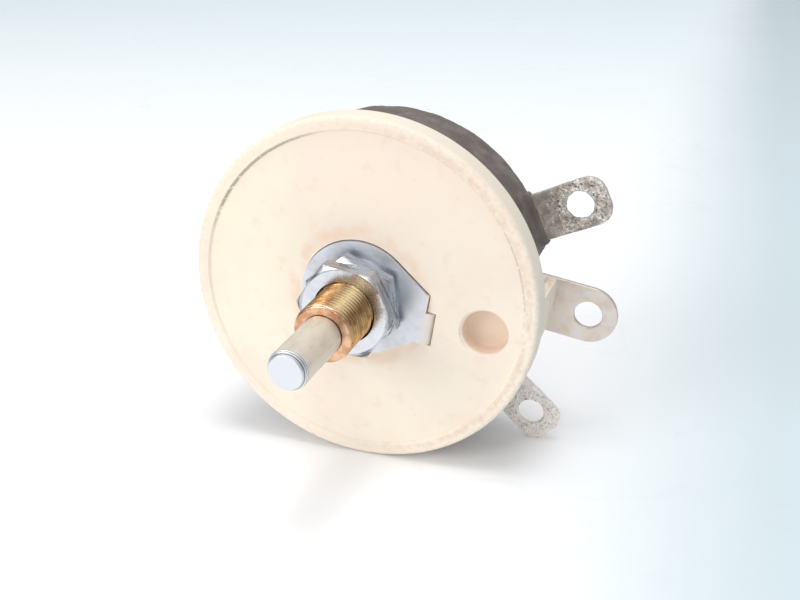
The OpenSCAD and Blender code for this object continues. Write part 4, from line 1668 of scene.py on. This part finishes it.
@dataclass
class Studio:
    """Plain sheet, soft light and the camera."""

    eye: tuple[float, float, float] = (0.0627, -0.1512, 0.07082)
    tilt: tuple[float, float, float] = (66.324, 1.262, 19.709)
    lens: float = 50.04
    reach: float = 3.0
    sky_strength: float = 0.75
    sky_stops: tuple[tuple[float, Colour], ...] = (
        (0.0, (0.5, 0.5, 0.52)), (0.5, (0.42, 0.42, 0.44)), (0.62, (0.6, 0.61, 0.64)), (
            0.85, (1.0, 1.0, 1.02)
        ),
    )
    lamps: tuple[tuple[str, Colour, float, float], ...] = (
        ("overhead", (0.04, -0.04, 0.7), 0.3, 2.0),
        ("front", (-0.42, -0.58, 0.38), 0.4, 1.8),
        ("spark", (0.07, -0.53, 0.26), 0.12, 0.2),
    )

    def sheet(self) -> None:
        """Lays the sheet under the rim."""
        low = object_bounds()[0].z
        bm = bmesh.new()
        bmesh.ops.create_grid(bm, x_segments=2, y_segments=2, size=self.reach / 2)
        bmesh.ops.translate(bm, verts=bm.verts, vec=(0, 0, low))
        mesh = bpy.data.meshes.new("sheet")
        bm.to_mesh(mesh)
        bm.free()
        mesh.materials.append(PAPER.material())
        sheet = bpy.data.objects.new("sheet", mesh)
        bpy.context.scene.collection.objects.link(sheet)
        sheet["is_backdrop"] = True

    def sky(self) -> None:
        """Even pale light from all round, less from low down."""
        world = bpy.data.worlds.new("room")
        bpy.context.scene.world = world
        world.use_nodes = True
        tree = world.node_tree
        back = next(n for n in tree.nodes if n.type == "BACKGROUND")
        coord = tree.nodes.new("ShaderNodeTexCoord")
        split = tree.nodes.new("ShaderNodeSeparateXYZ")
        ramp = tree.nodes.new("ShaderNodeValToRGB")
        spread = tree.nodes.new("ShaderNodeMapRange")
        spread.inputs[1].default_value = -1
        while len(ramp.color_ramp.elements) < len(self.sky_stops):
            ramp.color_ramp.elements.new(0.5)
        for element, (place, colour) in zip(ramp.color_ramp.elements, self.sky_stops):
            element.position = place
            element.color = (*colour, 1)
        tree.links.new(coord.outputs["Generated"], split.inputs[0])
        tree.links.new(split.outputs["Z"], spread.inputs[0])
        tree.links.new(spread.outputs[0], ramp.inputs[0])
        tree.links.new(ramp.outputs[0], back.inputs[0])
        back.inputs[1].default_value = self.sky_strength

    def lamp(self, name: str, at: Sequence[float], size: float, watts: float) -> None:
        """Hangs one soft lamp that looks at the shaft.

        Args:
            name: Its name.
            at: Its place in metres.
            size: Side of its square face in metres.
            watts: Its power.
        """
        light = bpy.data.lights.new(name, "AREA")
        light.shape = "SQUARE"
        light.size = size
        light.energy = watts
        lamp = bpy.data.objects.new(name, light)
        lamp.location = at
        lamp.rotation_euler = (-Vector(at)).to_track_quat("-Z", "Y").to_euler()
        bpy.context.scene.collection.objects.link(lamp)

    def camera(self) -> None:
        """Sets the camera."""
        data = bpy.data.cameras.new("camera")
        data.lens = self.lens
        data.sensor_width = 36
        data.clip_start = 0.005
        camera = bpy.data.objects.new("camera", data)
        camera.location = self.eye
        camera.rotation_euler = Euler([math.radians(a) for a in self.tilt])
        bpy.context.scene.collection.objects.link(camera)
        bpy.context.scene.camera = camera

    def build(self) -> None:
        """Builds sheet, light and camera."""
        self.sheet()
        self.sky()
        for lamp in self.lamps:
            self.lamp(*lamp)
        self.camera()
        bpy.context.scene.view_settings.view_transform = "Standard"


def main() -> None:
    """Builds the whole scene in order."""
    logging.basicConfig(level=logging.INFO, format="%(name)s: %(message)s")
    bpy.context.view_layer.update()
    plate = AnchorPlate()
    CeramicBase().build(plate)
    Hardware().build(plate)
    Element().build()
    Shaft().build()
    Wiper().build()
    Studio().build()


if __name__ == "__main__":
    main()
